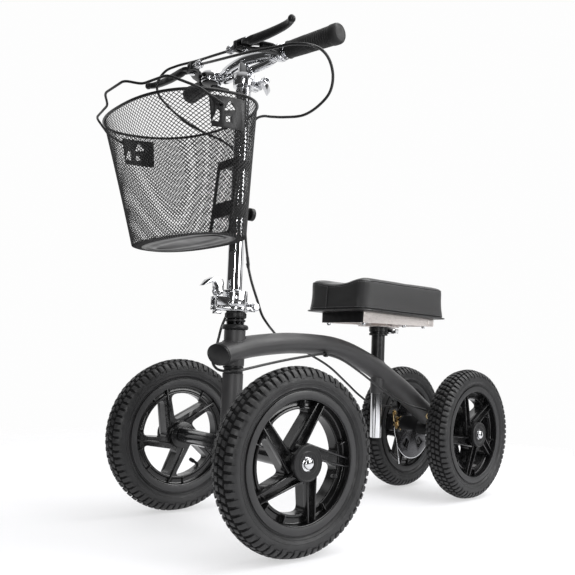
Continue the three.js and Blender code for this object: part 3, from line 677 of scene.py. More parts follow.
def lug(outline, angle, width, skew=0.0):
    """One rubber block: an outline of (radius, height) pairs, as a chamfered wedge of the tread."""
    n = len(outline)
    centre_r = sum(p[0] for p in outline) / n
    centre_h = sum(p[1] for p in outline) / n
    verts = []
    half = width / 2
    for offset, shrink in ((-half, 0.82), (-half * 0.78, 1.0), (half * 0.78, 1.0), (half, 0.82)):
        for r, h in outline:
            rr = centre_r + (r - centre_r) * shrink if r > centre_r else r
            hh = centre_h + (h - centre_h) * (0.9 + 0.1 * shrink)
            a = angle + (offset + skew * (h - centre_h)) / centre_r
            verts.append((rr * math.cos(a), rr * math.sin(a), hh))
    return verts, end_faces(4, n) + row_faces(4, n)


def tread():
    """Rows of blocks round the tyre: two shoulder rows, two inner rows and a centre row."""
    verts, faces = [], []

    def put(outline, angle, width, skew=0.0):
        v, f = lug(outline, angle, width, skew)
        base = len(verts)
        verts.extend(v)
        faces.extend([[base + i for i in face] for face in f])

    pitches = 68
    step = 2 * math.pi / pitches
    inner = [(147.0, 12.8), (151.4, 13.4), (153.2, 6.4), (149.0, 5.4)]
    centre = [(149.0, 3.8), (153.9, 3.6), (154.0, 0), (153.9, -3.6), (149.0, -3.8)]
    for k in range(pitches):
        a = k * step
        low = 138.5 if k % 2 else 134.5
        shoulder = [(low, 26.4), (low + 0.6, 28.1), (141.2, 27.3), (147.6, 22.4), (150.4, 17.2),
                    (147.0, 14.6),
                    (141.0, 20.0)]
        for s in (1, -1):
            shift = 0 if s > 0 else 0.5 * step
            put([(r, s * h) for r, h in shoulder], a + shift, 8.6, 0.05 * s)
            put([(r, s * h) for r, h in inner], a + shift + 0.5 * step, 8.2, 0.35 * s)
        put(centre, a + 0.25 * step, 8.8)
    mesh = mesh_of(verts, faces)
    mesh.transform(AXES["X"])
    return facing_out(mesh)


def clip_half_plane(polygon, normal, distance):
    """The part of a 2-D polygon where normal . p is over distance."""
    out = []
    n = len(polygon)
    for i in range(n):
        a, b = Vector(polygon[i]), Vector(polygon[(i + 1) % n])
        da, db = a.dot(normal) - distance, b.dot(normal) - distance
        if da >= 0:
            out.append(a)
        if da * db < 0:
            out.append(a + (b - a) * (da / (da - db)))
    return out


def groove():
    """Floor of the tread between the blocks, near black as painted shade in the gaps."""
    half = [(141.4, 24.5), (144.8, 20.7), (147.5, 15.5), (149.5, 8.7), (150.1, 0)]
    loop = half + [(r, -h) for r, h in half[-2::-1]] + [(138, -22), (138, 22)]
    return lathe(loop, "X", 136, ring=True)


def spoke_angle(k):
    return -(SPOKE_TILT + 2 * math.pi / SPOKES * k)


def window(k):
    """Outline of the opening between two spokes, as (y, z), with rounded corners."""
    poly = circle(72, WINDOW_R)
    for step, near, far, side in ((k, -8, -11.5, 1), (k + 1, -32, -28.5, -1)):
        turned = Matrix.Rotation(spoke_angle(step), 2)
        a, b = turned @ Vector((near, -6)), turned @ Vector((far, 86))
        along = (b - a).normalized()
        normal = Vector((along.y, -along.x)) * side
        poly = clip_half_plane(poly, normal, a.dot(normal))
    n = len(poly)
    sharp = []
    for i, p in enumerate(poly):
        if (p - poly[i - 1]).normalized().dot((poly[(i + 1) % n] - p).normalized()) < 0.9:
            sharp.append(i)
    return corner_rounded(poly, sharp, 11.0)


def corner_rounded(poly, sharp, radius, steps=5):
    """Cut each sharp corner back by radius along both sides, and round it."""
    n = len(poly)
    length = [0.0]
    for i in range(n):
        length.append(length[-1] + (poly[(i + 1) % n] - poly[i]).length)
    total = length[-1]

    def at(s):
        s %= total
        for i in range(n):
            if length[i + 1] >= s:
                t = (s - length[i]) / max(length[i + 1] - length[i], 1e-9)
                return poly[i].lerp(poly[(i + 1) % n], t)
        return poly[0]

    out = []
    for i in range(n):
        if i in sharp:
            out += bend(at(length[i] - radius), poly[i], at(length[i] + radius), steps)
        elif all(min((length[i] - length[s]) % total, (length[s] - length[i]) % total) > radius * 1.02
                 for s in sharp):
            out.append(poly[i])
    return [tuple(p) for p in out]


def mag_wheel():
    r, w = RIM_R, RIM_HALF_W
    outer = [(r, w), (102.6, w), (100.4, 7.5), (98.6, 5.6), (89.6, 5.6), (88.4, 9.2), (WINDOW_R, 9.6)]
    inner = [(WINDOW_R, -14.4), (88.4, -14.2), (89.6, -12.0), (98.2, -12.0), (100.4, -14.0), (102.6, -w),
             (r, -w)]
    profile = [(r, 20.8), *outer, *inner, (r, -20.8), (100, -20.8), (100, 20.8)]
    rim = lathe(rounded(profile, 1.3, 2, closed=True), "X", 144, ring=True)
    web = lathe([(0, -15), (87, -13), (87, 8), (0, 9)], "X", 144)
    web = cut(web, *[prism(window(k), -30, 30, "X", 0) for k in range(SPOKES)])
    hub = lathe([(0, -26), (27, -26), (27, 26), (0, 26)], "X", 72, round_by=1.6)
    spoke = [prism([(near - 2.2, 4), (near + 2.2, 4), (far + 1.4, 101.6), (far - 1.4, 101.6)], 6, 17.5, "X",
                   1.1)
             for near, far in ((-10.2, -13.3), (-29.8, -26.7))]
    spoke.append(prism([(-22.4, 20), (-17.6, 20), (-18.2, 101.6), (-21.8, 101.6)], -16.6, -11, "X", 1.2))
    spoke.append(prism([(-29, 60), (-11, 60), (-12.5, 100), (-27.5, 100)], -12, 7.5, "X", 0))
    rib = prism([(-1.1, 86), (1.1, 86), (1.1, 101.6), (-1.1, 101.6)], -16, 16, "X", 0.5)
    parts = [rim, bevelled(web, 1.4, 3, 40), hub]
    for k in range(SPOKES):
        parts += [moved(mesh, Matrix.Rotation(spoke_angle(k), 4, "X")) for mesh in spoke]
        for offset in ((22, 48) if k == 2 else (40,)):
            parts.append(moved(rib, Matrix.Rotation(spoke_angle(k) - math.radians(offset), 4, "X")))
    return merged(*parts)


def flange_ring():
    """Satin outer faces of the rim, rougher than the cast spokes, and paler as painted light for the light
    these faces catch.
    """
    r, w = RIM_R, RIM_HALF_W
    loop = [(101.6, w - 1.2), (r - 0.9, w - 1.2), (r - 0.9, w + 0.25), (r - 1.5, w + 0.5), (103.4, w + 0.5),
            (102.4, w + 0.1)]
    return merged(lathe(loop, "X", 144, ring=True),
                  lathe([(r, -w) for r, w in loop[::-1]], "X", 144, ring=True))


def hub_cap():
    return lathe([(13.0, 26.4), (29.5, 26.4), (29.5, 32.4), (27.6, 33.4), (26.6, 32.6), (19.5, 32.6),
                  (18.6, 33.4), (13.0, 33.4)],
                 "X", 80, ring=True, round_by=0.5)


def wheel_nut():
    washer = lathe([(0, 29.0), (13.0, 29.0), (13.0, 31.2), (0, 31.2)], "X", 48, round_by=0.4)
    dome = lathe([(0, 30), (9.6, 30), (9.6, 34.6), (8.6, 36.6), (6.4, 38.0), (3.4, 38.7), (0, 38.8)], "X", 48,
                 round_by=0.6)
    flats = moved(prism(circle(6, 9.8), 30.6, 35.4, "X", 0.7), Matrix.Rotation(0.3, 4, "X"))
    return merged(washer, dome, flats)


def valve():
    """Bent valve stem with its cap, standing in from the rim towards the outer face."""
    path = catmull([(-2, 0, 99), (-2, 0, 91), (2, 0, 84), (9, 0, 79), (15, 0, 76.5)], 6)
    stem = sweep(path, 2.9, sides=16)
    cap = between(lathe([(0, 0), (3.9, 0), (4.1, 9), (3.2, 11.4), (0, 11.6)], "Z", 24, round_by=0.5),
                  (11.5, 0, 77.9), (18, 0, 75.3))
    foot = between(rod(5.2, 0, 5, "Z", 24, 1.2), (-2, 0, 94), (-2, 0, 88))
    return merged(stem, cap, foot)


def wheels():
    """Tag, side, half track, place along Y, turned, and the turn of spokes and valve stem in degrees."""
    own = (("tyre", merged(carcass(), tread()), TYRE), ("wheel", mag_wheel(), CAST),
           ("hub_cap", hub_cap(), BLACK),
           ("wheel_nut", wheel_nut(), CHROME))
    dark_floor, ring, stem = groove(), flange_ring(), valve()
    for tag, side, x, y, turned, rest, stem_at in (
        ("front_left", 1, FRONT_TRACK / 2, 0, True, 0, 249),
        ("front_right", -1, FRONT_TRACK / 2, 0, True, 28, 219),
        ("rear_left", 1, REAR_TRACK / 2, WHEELBASE, False, 28, 302),
        ("rear_right", -1, REAR_TRACK / 2, WHEELBASE, False, 28, 60),
    ):
        at = Matrix.Translation((x, y, TYRE_R))
        if side < 0:
            at = MIRROR @ at
        for name, mesh, material in own:
            node = f"{name}_{tag}"
            spun = at @ Matrix.Rotation(-math.radians(rest), 4, "X") if name == "wheel" else at
            piece(f"{node}_look", moved(mesh, spun), material, node, turned)
        # Painted shade over the tread floor between the blocks.
        extra(f"groove_{tag}", moved(dark_floor, at), GROOVE_SHADE, f"tyre_{tag}", turned=turned)
        # Painted light on the rim's outer faces.
        extra(f"flange_{tag}", moved(ring, at), FLANGE_LIT, f"wheel_{tag}", turned)
        spin = Matrix.Rotation(math.radians(stem_at), 4, "X")
        extra(f"valve_{tag}", moved(stem, at @ spin), PLASTIC, f"wheel_{tag}", turned)


wheels()


# ---------------- basket, turned with the column
TOP = {"a": 164, "b": 115, "y": -144, "z": 748.5}
FOOT = {"a": 154, "b": 66, "y": -115, "z": 517}
POWER = 2.4
LEAN = 0.1


def wall_point(angle, t, out=0.0, z=None):
    """A point of the basket's wall: angle round it, t from floor to rim, out along the wall's normal."""
    a = FOOT["a"] + (TOP["a"] - FOOT["a"]) * t + out
    b = FOOT["b"] + (TOP["b"] - FOOT["b"]) * t + out
    c, s = math.cos(angle), math.sin(angle)
    x, y = a * signed_power(c, 2 / POWER), b * signed_power(s, 2 / POWER)
    height = FOOT["z"] + (TOP["z"] - FOOT["z"]) * t if z is None else z
    return Vector((x, FOOT["y"] + (TOP["y"] - FOOT["y"]) * t + y, height + LEAN * t * y))


def even_angles(count, t):
    """Angles that space count points evenly along the wall's outline at height t."""
    fine = 1440
    points = [wall_point(2 * math.pi * i / fine, t) for i in range(fine + 1)]
    run = [0.0]
    for a, b in zip(points, points[1:]):
        run.append(run[-1] + (b - a).length)
    out, i = [], 0
    for k in range(count):
        want = run[-1] * k / count
        while run[i + 1] < want:
            i += 1
        share = (want - run[i]) / (run[i + 1] - run[i])
        out.append(2 * math.pi * (i + share) / fine)
    return out


def lattice(rows, columns, point):
    """Diamond cells: rows of points, every other row half a cell along; point(column, row) gives each."""
    verts = [point(i + (0.5 if j % 2 else 0), j) for j in range(rows + 1) for i in range(columns)]
    faces = []
    for j in range(rows - 1):
        for i in range(columns):
            left = i if j % 2 else i - 1
            mid, end = (j + 1) * columns, (j + 2) * columns
            faces.append((j * columns + i, mid + (left + 1) % columns, end + i, mid + left % columns))
    return mesh_of(verts, faces)


def wired(mesh, thickness):
    return evaluated(mesh, ("WIREFRAME", {"thickness": thickness, "use_even_offset": True,
                                          "use_replace": True,
                                          "use_boundary": True, "offset": 0}))


TUCK = 6  # rows of mesh that turn under the wall to meet the floor plate


def basket():
    columns, rows = 102, 66
    angles = even_angles(columns * 2, 0.5)
    low, high = 0.012, 0.985

    def at(i, j):
        angle = angles[int(round(i * 2)) % (columns * 2)]
        if j < TUCK:
            return wall_point(angle, 0.0, -(TUCK - j) * 3.3 + 0.4, 518.0 + (0.6 if j == TUCK - 1 else 0))
        return wall_point(angle, low + (high - low) * (j - TUCK) / rows, 0.4)

    turns = [2 * math.pi * k / 160 for k in range(160)]
    rim = sweep([wall_point(a, 1.0, 0.6, 746.3) for a in turns], 2.5, sides=14, closed=True)
    seam = sweep([wall_point(a, 0.0, -18.6, 518.4) for a in turns], 1.2, sides=12, closed=True)
    whole = merged(wired(lattice(rows + TUCK, columns, at), 1.3), rim, seam, floor_pan())
    piece("basket_mesh", whole, WIRE, "basket", True, sharp=50)


def floor_pan():
    """The basket's pressed floor: a dished plate with a raised panel and a turned-up edge."""
    n = 128
    steps = ((17.6, 518.8), (18.6, 517.6), (26, 517.5), (28, 518.7), (36, 518.8), (38, 517.6), (48, 517.6),
             (50, 519.0))
    lower = [wall_point(2 * math.pi * (k + 0.5) / n, 0.0, -inset, z) for inset, z in steps for k in range(n)]
    upper = [v + Vector((0, 0, 1.2)) for v in lower]
    m = len(lower)
    sheet = row_faces(len(steps), n) + [tuple(range(m - n, m))]
    edge = [(k, m + k, m + (k + 1) % n, (k + 1) % n) for k in range(n)]
    under = [tuple(m + i for i in face[::-1]) for face in sheet]
    return facing_out(mesh_of(lower + upper, sheet + under + edge))


BAIL_PIVOT = (170.6, -156.6, 721.8)


def bail():
    """The basket's wire handle, with its ends turned in through the hinges."""
    side = [(39, -269.8, 767), (68.2, -250.8, 758), (139.4, -242.1, 754.7), (170.6, -203, 737.3), BAIL_PIVOT]
    line = [(-x, y, z) for x, y, z in side[::-1]] + side
    end = shifted(rod(2.2, 163.6, BAIL_PIVOT[0] + 1.6, "X", 20, 0.4), 0, *BAIL_PIVOT[1:])
    wire = merged(sweep(rounded(line, 11, 6), 2.2, sides=14), end, mirrored(end))
    piece("basket_handle_wire", wire, WIRE, "basket_handle", True)


basket()
bail()


# ---------------- frame tube, headset and front axle
TUBE_LINE = [
    (0, -35, 321), (0, 20, 335), (0, 70, 342.5), (0, 140, 349), (0, 215, 350), (0, 270, 347.5), (0, 320, 339),
    (0, 367, 325.5), (0, 415, 309), (0, 470, 285), (0, 536, 253), (0, 590, 222), (0, 633, 198), (0, 655, 185),
]
HEAD_TUBE_Z = (301, 368)
TUBE_TILT = math.atan2(14, 55)


def weld_bead(points, radius, pitch=2.6):
    """A rippled bead along a closed path: overlapping flattened beads."""
    line = catmull(points, 6, closed=True)
    run, beads = pitch, []
    for a, b in zip(line, line[1:] + line[:1]):
        run += (b - a).length
        if run >= pitch:
            run -= pitch
            bead = lathe([(0, -1.3), (radius * 0.75, -0.9), (radius, 0), (radius * 0.75, 0.9), (0, 1.3)], "Z",
                         10)
            beads.append(between(bead, b, b + (b - a)))
    return merged(sweep(line, radius * 0.86, sides=8, closed=True), *beads)


def round_line(y, radius):
    """Closed circle round a post at y, just above the main tube."""
    return [Vector((a, y + b, tube_top(a, y + b) + 0.2)) for a, b in circle(24, radius)]


def tube_top(x, y):
    """Height of the main tube's upper surface."""
    for a, b in zip(TUBE_LINE, TUBE_LINE[1:]):
        if a[1] <= y <= b[1]:
            z = a[2] + (b[2] - a[2]) * (y - a[1]) / (b[1] - a[1])
            slope = math.hypot(1, (b[2] - a[2]) / (b[1] - a[1]))
            return z + slope * TUBE_H / 2 * math.sqrt(max(0.0, 1 - (2 * x / TUBE_W) ** 2))
    return 0.0


def main_tube():
    outer = sweep(catmull(TUBE_LINE, 10), TUBE_W / 2, TUBE_H / 2, 56, side=(1, 0, 0))
    head = tube(15.2, 20.2, *HEAD_TUBE_Z, segments=56, edge=0.8)
    sleeve = shifted(tube(13.0, 15.2, 246, 397, segments=48), 0, POST_Y, 0)
    welds = [weld_bead(round_line(0, 21.4), 1.7), weld_bead(round_line(POST_Y, 16.4), 1.7)]
    piece("main_tube_look", merged(outer, head, sleeve, *welds), GREY, "main_tube", sharp=50)
    # Painted shade: a black band over the grey seat sleeve, standing for the shadow the pad casts on it.
    painted_shade_band = shifted(tube(15.22, 15.44, 318, 379, segments=48, edge=0), 0, POST_Y, 0)
    extra("sleeve_painted_shade", painted_shade_band, BLACK, "main_tube")
    cap = prism(circle(64, TUBE_W / 2 - 0.4, TUBE_H / 2 - 0.4), 0.3, 4, "Z", 1.0)
    lean = Matrix.Translation(TUBE_LINE[0]) @ Matrix.Rotation(TUBE_TILT + math.pi / 2, 4, "X")
    piece("tube_end_cap_look", moved(cap, lean), PLASTIC, "tube_end_cap")


def front_axle():
    stem = lathe([(0, 148), (19.5, 148), (19.5, 287), (12.4, 287), (12.4, 409), (0, 409)], "Z", 64,
                 round_by=0.8)
    piece("steerer_look", stem, GREY, "steerer_and_axle", True)
    half = FRONT_TRACK / 2 - BEAM_SETBACK
    beam = shifted(rod(15, -half, half, "X", 64, 0.8), 0, 0, TYRE_R)
    axle = shifted(rod(8, -half - 2 * BEAM_SETBACK, half + 2 * BEAM_SETBACK, "X", 40, 0.5), 0, 0, TYRE_R)
    rings = [shifted(tube(14.9, 17.0, s * 26 - 3, s * 26 + 3, "X", 56, 0.9), 0, 0, TYRE_R) for s in (1, -1)]
    extra("front_beam", merged(beam, *rings), GLOSS, "steerer_and_axle", True)
    extra("front_axle_ends", axle, CAST_CHROME, "steerer_and_axle", True)


def headset():
    """Lower cup, the stack of rings above the head tube, and the thread that shows between them."""
    cup = [(13, 287.3), (18.6, 287.3), (18.6, 291), (17.4, 292.4), (17.4, 296), (19.4, 297.4), (19.4, 300.6),
           (13, 300.6)]
    piece("headset_lower_look", lathe(cup, "Z", 56, True, 0.5), BLACK, "headset_lower")
    flange = [(12.8, 368.4), (22.6, 368.4), (25.0, 370.2), (25.2, 373.0), (23.6, 376.6), (20.4, 378.0),
              (12.8, 378.0)]
    ring = [(12.8, 383.2), (18.2, 383.2), (19.0, 384.0), (19.0, 386.8), (18.2, 387.6), (12.8, 387.6)]
    top = [(12.8, 389.6), (18.6, 389.6), (19.8, 391.0), (20.0, 395.0), (19.4, 399.6), (18.0, 402.2),
           (12.8, 402.2)]
    turned_parts = [lathe(r, "Z", 64, True, 0.3) for r in (flange, ring, top)]
    nut = prism(circle(8, 23.8), 371.0, 377.2, "Z", 0.8)
    ridge = box(-0.7, 0.7, 19.2, 20.5, 391.4, 399.0, 0.3)
    ridges = [moved(ridge, Matrix.Rotation(2 * math.pi * k / 24, 4, "Z")) for k in range(24)]
    piece("headset_upper_look", merged(*turned_parts, nut, *ridges), BLACK, "headset_upper", True)
    threads = [(12.8, 377.6)]
    z = 377.8
    while z < 389.6:
        threads += [(16.2, z), (17.3, z + 0.5), (16.2, z + 1.0)]
        z += 1.2
    threads.append((12.8, z))
    extra("headset_thread", lathe(threads, "Z", 64, True), STEEL, "headset_upper", True)


def column():
    shaft = tube(12.8, COLUMN_R, 414.3, 837, segments=64, edge=0.6)
    piece("column_tube_look", shifted(shaft, 0, COLUMN_Y, 0), CHROME, "column_tube", True)
    post = shifted(tube(10.7, 12.7, 146, 415.7, segments=56, edge=0.6), 0, POST_Y, 0)
    piece("pad_post_look", post, CHROME, "pad_post")


main_tube()
front_axle()
headset()
column()


# ---------------- handlebar, grips, levers and cables
GRIP_START = Vector((112, 6, 884))
GRIP_END = Vector((BAR_HALF, 22, 886))
GRIP_DIR = (GRIP_END - GRIP_START).normalized()


def along(distance, s=1):
    q = GRIP_START + GRIP_DIR * distance
    return Vector((s * q.x, q.y, q.z))


def flip(q):
    return Vector((-q[0], q[1], q[2]))


BAR_SIDE = [Vector((30, -7.5, 889)), Vector((58, -4, 886)), along(-34), GRIP_START]
BAR_LINE = [along(104, -1), along(50, -1), *[flip(q) for q in BAR_SIDE[::-1]], Vector((0, -9, 890)),
            *BAR_SIDE, along(50), along(104)]
BRACE_LINE = [(-84, 1.8, 877), (-68, -1, 871), (0, -3, 869.5), (68, -1, 871), (84, 1.8, 877)]


def handlebar():
    bow = sweep(catmull(BAR_LINE, 10), BAR_R, sides=36)
    brace = sweep(catmull(BRACE_LINE, 10), 7.5, sides=28)
    stem = shifted(lathe([(0, 660), (STEM_R, 660), (STEM_R, 884), (0, 884)], "Z", 56, round_by=1.5), 0,
                   COLUMN_Y, 0)
    piece("handlebar_look", merged(bow, brace, stem), CHROME, "handlebar", "bar", sharp=50)


def grip_mesh():
    """Rubber grip along Z: plain inner half, ribbed outer half that swells, and a rounded end cap."""
    profile = [(11.5, 0), (15.4, 0), (16.2, 0.8), (16.4, 2.4), (15.9, 4.0)]
    for k in range(9):
        profile.append((15.6 + 0.12 * k, 8 + 4.4 * k))
    z = 46.0
    while z < 98:
        swell = 16.4 + 1.2 * (z - 46) / 52
        profile += [(swell - 0.8, z), (swell, z + 0.9), (swell, z + 3.0), (swell - 0.8, z + 3.9)]
        z += 4.9
    profile += [(17.2, 98), (18.2, 99.4), (18.6, 102), (18.6, 110), (17.6, 114), (15.4, 116.4), (14.6, 116.6),
                (14.2, 116.1), (11, 116.4), (0, 116.6)]
    return lathe(profile + [(0, 105), (11.5, 105)], "Z", 64)


def hose_clamp():
    """Chrome band of a lever perch, with its pinch lugs and screw."""
    band = between(tube(11.4, 16.2, -10, 8, "Z", 56, 1.2), along(-16), GRIP_START)
    ridge = between(tube(15.6, 17.4, -4, 2, "Z", 56, 0.9), along(-16), GRIP_START)
    lugs = [box(87, 93, -19, -7, 864, 882, 1.8), box(94.5, 98.6, -19, -7, 864, 882, 1.6)]
    screw = between(merged(rod(4.6, -2, 3.6, "Z", 6, 0.5), rod(2.6, 3, 16, "Z", 20, 0.4),
                           rod(4.4, 13.5, 17, "Z", 28, 1.0)), (84, -13, 868), (99, -13, 868))
    strut = between(rod(4.2, 0, 22, "Z", 24, 1.2), (104, -6, 866), (104, -22, 876))
    return merged(band, ridge, *lugs, screw, strut)


ARM = [(99, -11), (113, -9), (113, -34), (104, -56), (92, -70), (88, -82), (70, -86), (64, -76), (72, -62),
       (88, -52), (98, -36)]


LEVER_PIVOT = (82, -72)
ADJUSTER_LINE = ((64, -79, 876), (46, -79.4, 875))
BELL_AT = (-80, -30)
HEIGHT_PIN = (28, 850)
FOLD_PIN = (33, 413)


def perch_and_lever():
    plates = [plate(ARM, 5, 868.0, 872.0, 1.4), plate(ARM, 5, 880.0, 884.0, 1.6)]
    web = plate([(99, -12), (112, -11), (111, -32), (103, -50), (92, -50), (96, -36)], 3, 869, 883, 1.6)
    nose = plate([(60, -71), (72, -63), (73, -86), (63, -86), (58, -79)], 3, 868.0, 884.4, 2.0)
    hood = plate([(67, -83), (88, -81), (92, -69), (86, -55), (74, -61), (66, -73)], 5, 882.6, 887.0, 1.8)
    body = merged(*plates, web, nose, hood)
    barrels = [rod(r, start, end, "Z", 32, 0.8)
               for start, end, r in ((-3, 8, 6.2), (8.4, 10.6, 5.2), (11, 20, 7.4), (20.4, 25, 4.6))]
    knurls = [shifted(rod(0.8, 12, 19.2, "Z", 8, 0.2), x, y, 0) for x, y in circle(14, 7.3)]
    adjuster = between(merged(*barrels, *knurls), *ADJUSTER_LINE)
    screw = [(0, 865.4), (5.4, 865.4), (5.8, 866.4), (5.4, 867.8), (3, 868.2), (3, 886.4), (5.6, 887),
             (6.0, 888.4),
             (4.6, 890.2), (2.6, 890.2), (2.2, 889.0), (0, 889.0)]
    cap = [(0, 883.6), (4.6, 883.8), (4.8, 886), (3.4, 887.4), (1.8, 887.4), (1.6, 886.4), (0, 886.4)]
    pivot = merged(shifted(lathe(screw, "Z", 40, round_by=0.4), *LEVER_PIVOT, 0),
                   shifted(lathe(cap, "Z", 32, round_by=0.4), 105, -24, 0))
    return body, adjuster, pivot, *lever_blade()


def lever_blade():
    """Forged blade swept from the pivot to the finger end, thick in the middle, with a ball tip."""
    root = plate([(78, -79), (90, -88), (120, -87), (120, -75), (96, -66), (86, -66)], 4, 872.5, 879.5, 0)
    hub = shifted(rod(7.2, 872.5, 879.5, "Z", 32, 0.8), *LEVER_PIVOT, 0)
    line = [(98, -78.5, 876), (110, -80, 874.4), (128, -80.2, 873.0), (150, -79.2, 872.6),
            (176, -78.6, 873.0),
            (196, -79.2, 873.6), (210, -82, 874.0), (219, -87, 874.2)]
    path = catmull(line, 6)
    n = len(path)
    rows = []
    for i, p in enumerate(path):
        t = (path[min(i + 1, n - 1)] - path[max(i - 1, 0)]).normalized()
        side = Vector((-t.y, t.x, 0)).normalized()
        up = t.cross(side)
        f = i / (n - 1)
        wide = 6.4 - 1.6 * f + (0.8 if f > 0.9 else 0)
        tall = (5.2 + 3.2 * min(1, f / 0.12)) * (1 - 0.34 * max(0, (f - 0.4) / 0.6))
        rows.append([p + side * (wide * signed_power(c, 0.72)) + up * (tall * signed_power(s, 0.72))
                     for c, s in circle(20)])
    ball = [(0, -6.6), (3.6, -6.0), (6.0, -3.2), (6.6, 0), (6.0, 3.2), (3.6, 6.0), (0, 6.6)]
    tip = shifted(lathe(ball, "Z", 36), 219.5, -87, 874)
    return merged(bevelled(root, 1.6, 3), hub, bevelled(skin(rows), 0.8, 2)), tip


def bell():
    """Drum of the bell with a turned rim and groove, on the right perch's shelf."""
    drum = [(0, 861.0), (15.4, 861.0), (17.2, 862.2), (17.5, 863.4), (17.5, 866.4), (16.7, 867.0),
            (16.7, 868.0),
            (17.5, 868.6), (17.5, 877.4), (16.9, 879.8), (15.3, 881.9), (12.4, 883.1), (10.4, 883.4),
            (10.0, 882.9),
            (4.4, 883.4), (4.0, 884.4), (3.0, 885.0), (0, 885.2)]
    foot = [(0, 856.6), (12, 856.6), (15.6, 858.2), (16.2, 860.4), (14, 860.7), (0, 860.7)]
    piece("bell_drum", shifted(lathe(drum, "Z", 72), *BELL_AT, 0), CHROME, "bell", "bar")
    link = box(-111, -84, -36, -24, 857, 860.4, 1.0)
    riser = box(-111, -101.5, -36, -24, 857, 872, 1.2)
    thumb = plate([(-87, -24), (-75, -24), (-69, 11), (-75, 15), (-80, 12)], 3, 854.4, 858.2, 1.3)
    base = merged(shifted(lathe(foot, "Z", 56), *BELL_AT, 0), link, riser, thumb)
    extra("bell_base", base, PLASTIC, "brake_perch_right", "bar")


def bar_ends():
    body, adjuster, pivot, lever, tip = perch_and_lever()
    grip = between(grip_mesh(), GRIP_START, GRIP_END)
    clamp = hose_clamp()
    for tag, side in (("left", lambda mesh: mesh), ("right", mirrored)):
        perch, brake = f"brake_perch_{tag}", f"brake_lever_{tag}"
        piece(f"grip_{tag}_look", side(grip), GRIP, f"grip_{tag}", "bar", sharp=40)
        piece(f"{perch}_look", side(body), BLACK, perch, "bar")
        for name, mesh in (("perch_clamp", clamp), ("cable_adjuster", adjuster), ("lever_pivot", pivot)):
            extra(f"{name}_{tag}", side(mesh), CAST_CHROME, perch, "bar")
        piece(f"{brake}_look", side(lever), BLACK, brake, "bar")
        extra(f"lever_tip_{tag}", side(tip), BLACK, brake, "bar")


def height_quick_release():
    """Cam lever of the height clamp, with a long ring-ended nut on the rider's left."""
    barrel = [rod(3, -16, 20, "X", 24, 0.3), rod(6.2, -18, -11.4, "X", 32, 1.0),
              rod(6.6, 11.4, 18, "X", 36, 0.8),
              tube(3.4, 5.4, 17, 36, "X", 32, 0.8), tube(3.6, 7.2, 31.5, 38, "X", 40, 1.6)]
    cam = [(17, -6), (26, -6), (28, 3), (25, 14), (19, 24), (11, 28.5), (11.6, 22), (16, 13), (14.5, 4)]
    lever = bevelled(plate(cam, 3, -5, 5, 0), 1.8, 3)
    whole = moved(merged(*barrel, lever), Matrix.Rotation(math.radians(-35), 4, "X"))
    whole = shifted(whole, 0, HEIGHT_PIN[0] + COLUMN_Y, HEIGHT_PIN[1])
    piece("height_lever_look", whole, CAST_CHROME, "height_lever", True)


def fold_details():
    """Small parts of the folding joint: caps of its pin, lips of its clamp and a set screw."""
    cap = [(0, 0), (8.2, 0), (8.2, 1.6), (6.0, 2.0), (5.6, 4.2), (2.6, 4.2), (2.4, 3.0), (0, 3.0)]
    caps = [between(lathe(cap, "Z", 40, round_by=0.4), (s * 17.1, *FOLD_PIN), (s * 20, *FOLD_PIN))
            for s in (1, -1)]
    extra("fold_pin_caps", merged(*caps), CAST_CHROME, "fold_pin", True)
    lip = [(15.3, 437.5), (20.6, 437.5), (21.4, 438.6), (21.4, 441.2), (19.6, 442.6), (16.6, 443.0),
           (15.3, 442.4)]
    waist = [(20.3, 416), (21.6, 416.6), (21.6, 419.2), (20.3, 420)]
    rings = [shifted(lathe(ring, "Z", 72, ring=True), 0, COLUMN_Y, 0) for ring in (lip, waist)]
    screw = between(rod(3.4, 0, 3.4, "Z", 6, 0.4), (20.0, -14, 428), (24, -17, 428))
    extra("fold_clamp_lips", merged(*rings, screw), CAST_CHROME, "fold_clamp", True)


CABLE_R = 2.5
LEFT_UPPER = [
    (51, -75, 874.5), (0, -79, 880), (-58, -82, 887), (-122, -92, 893), (-148, -101, 888), (-165, -108, 868),
              (-168, -104, 846),
    (-164, -82, 824), (-135, -58, 792), (-97, -36, 765), (-58, -10, 742), (-30, 6, 715), (-18, 9, 690),
              (-17.5, 9, 600),
    (-16.5, 11, 545), (-14, 14.5, 500),
]
RIGHT_UPPER = [
    (-38, -83, 874), (20, -86, 862), (126, -80, 846), (184, -70, 838), (217, -58, 837), (240, -42, 833),
               (251, -24, 827),
    (251, -6, 816), (244, 10, 795), (225, 22, 776), (190, 30, 764), (140, 34, 758), (84, 31, 767),
               (48, 28, 776), (24, 24, 782),
    (4, 22, 780), (-7, 19, 760), (-8.5, 15.6, 711), (-8.5, 15.6, 600), (-5, 18, 545), (2, 21, 500),
]
LEFT_LOWER = [
    (-13.8, 14.9, 497), (-17, 18, 466), (-26, 18, 430), (-30, 6, 402), (-34, -4, 375), (-37, -8, 352),
              (-37, -14, 330),
    (-30, -26, 308), (-10, -31, 294.5), (8, -27, 291), (22, -10, 292), (26, 14, 297), (27, 60, 306),
              (28, 110, 315),
    (28, 170, 324), (28, 228, 330), (27, 280, 320), (26, 339, 297), (26, 386, 275), (27, 450, 245),
              (36, 510, 222),
    (48, 548, 212), (50, 566, 208),
]
RIGHT_LOWER = [
    (2.4, 21.4, 497), (6, 31, 462), (5.5, 49, 427), (0, 67, 402), (-12, 95, 385), (-28, 124, 374.5),
               (-38.5, 150, 364),
    (-38, 200, 346), (-37, 250, 328), (-38, 315, 303), (-41, 379, 268), (-45, 430, 240), (-50, 490, 216),
               (-51, 540, 211),
    (-50, 566, 208),
]


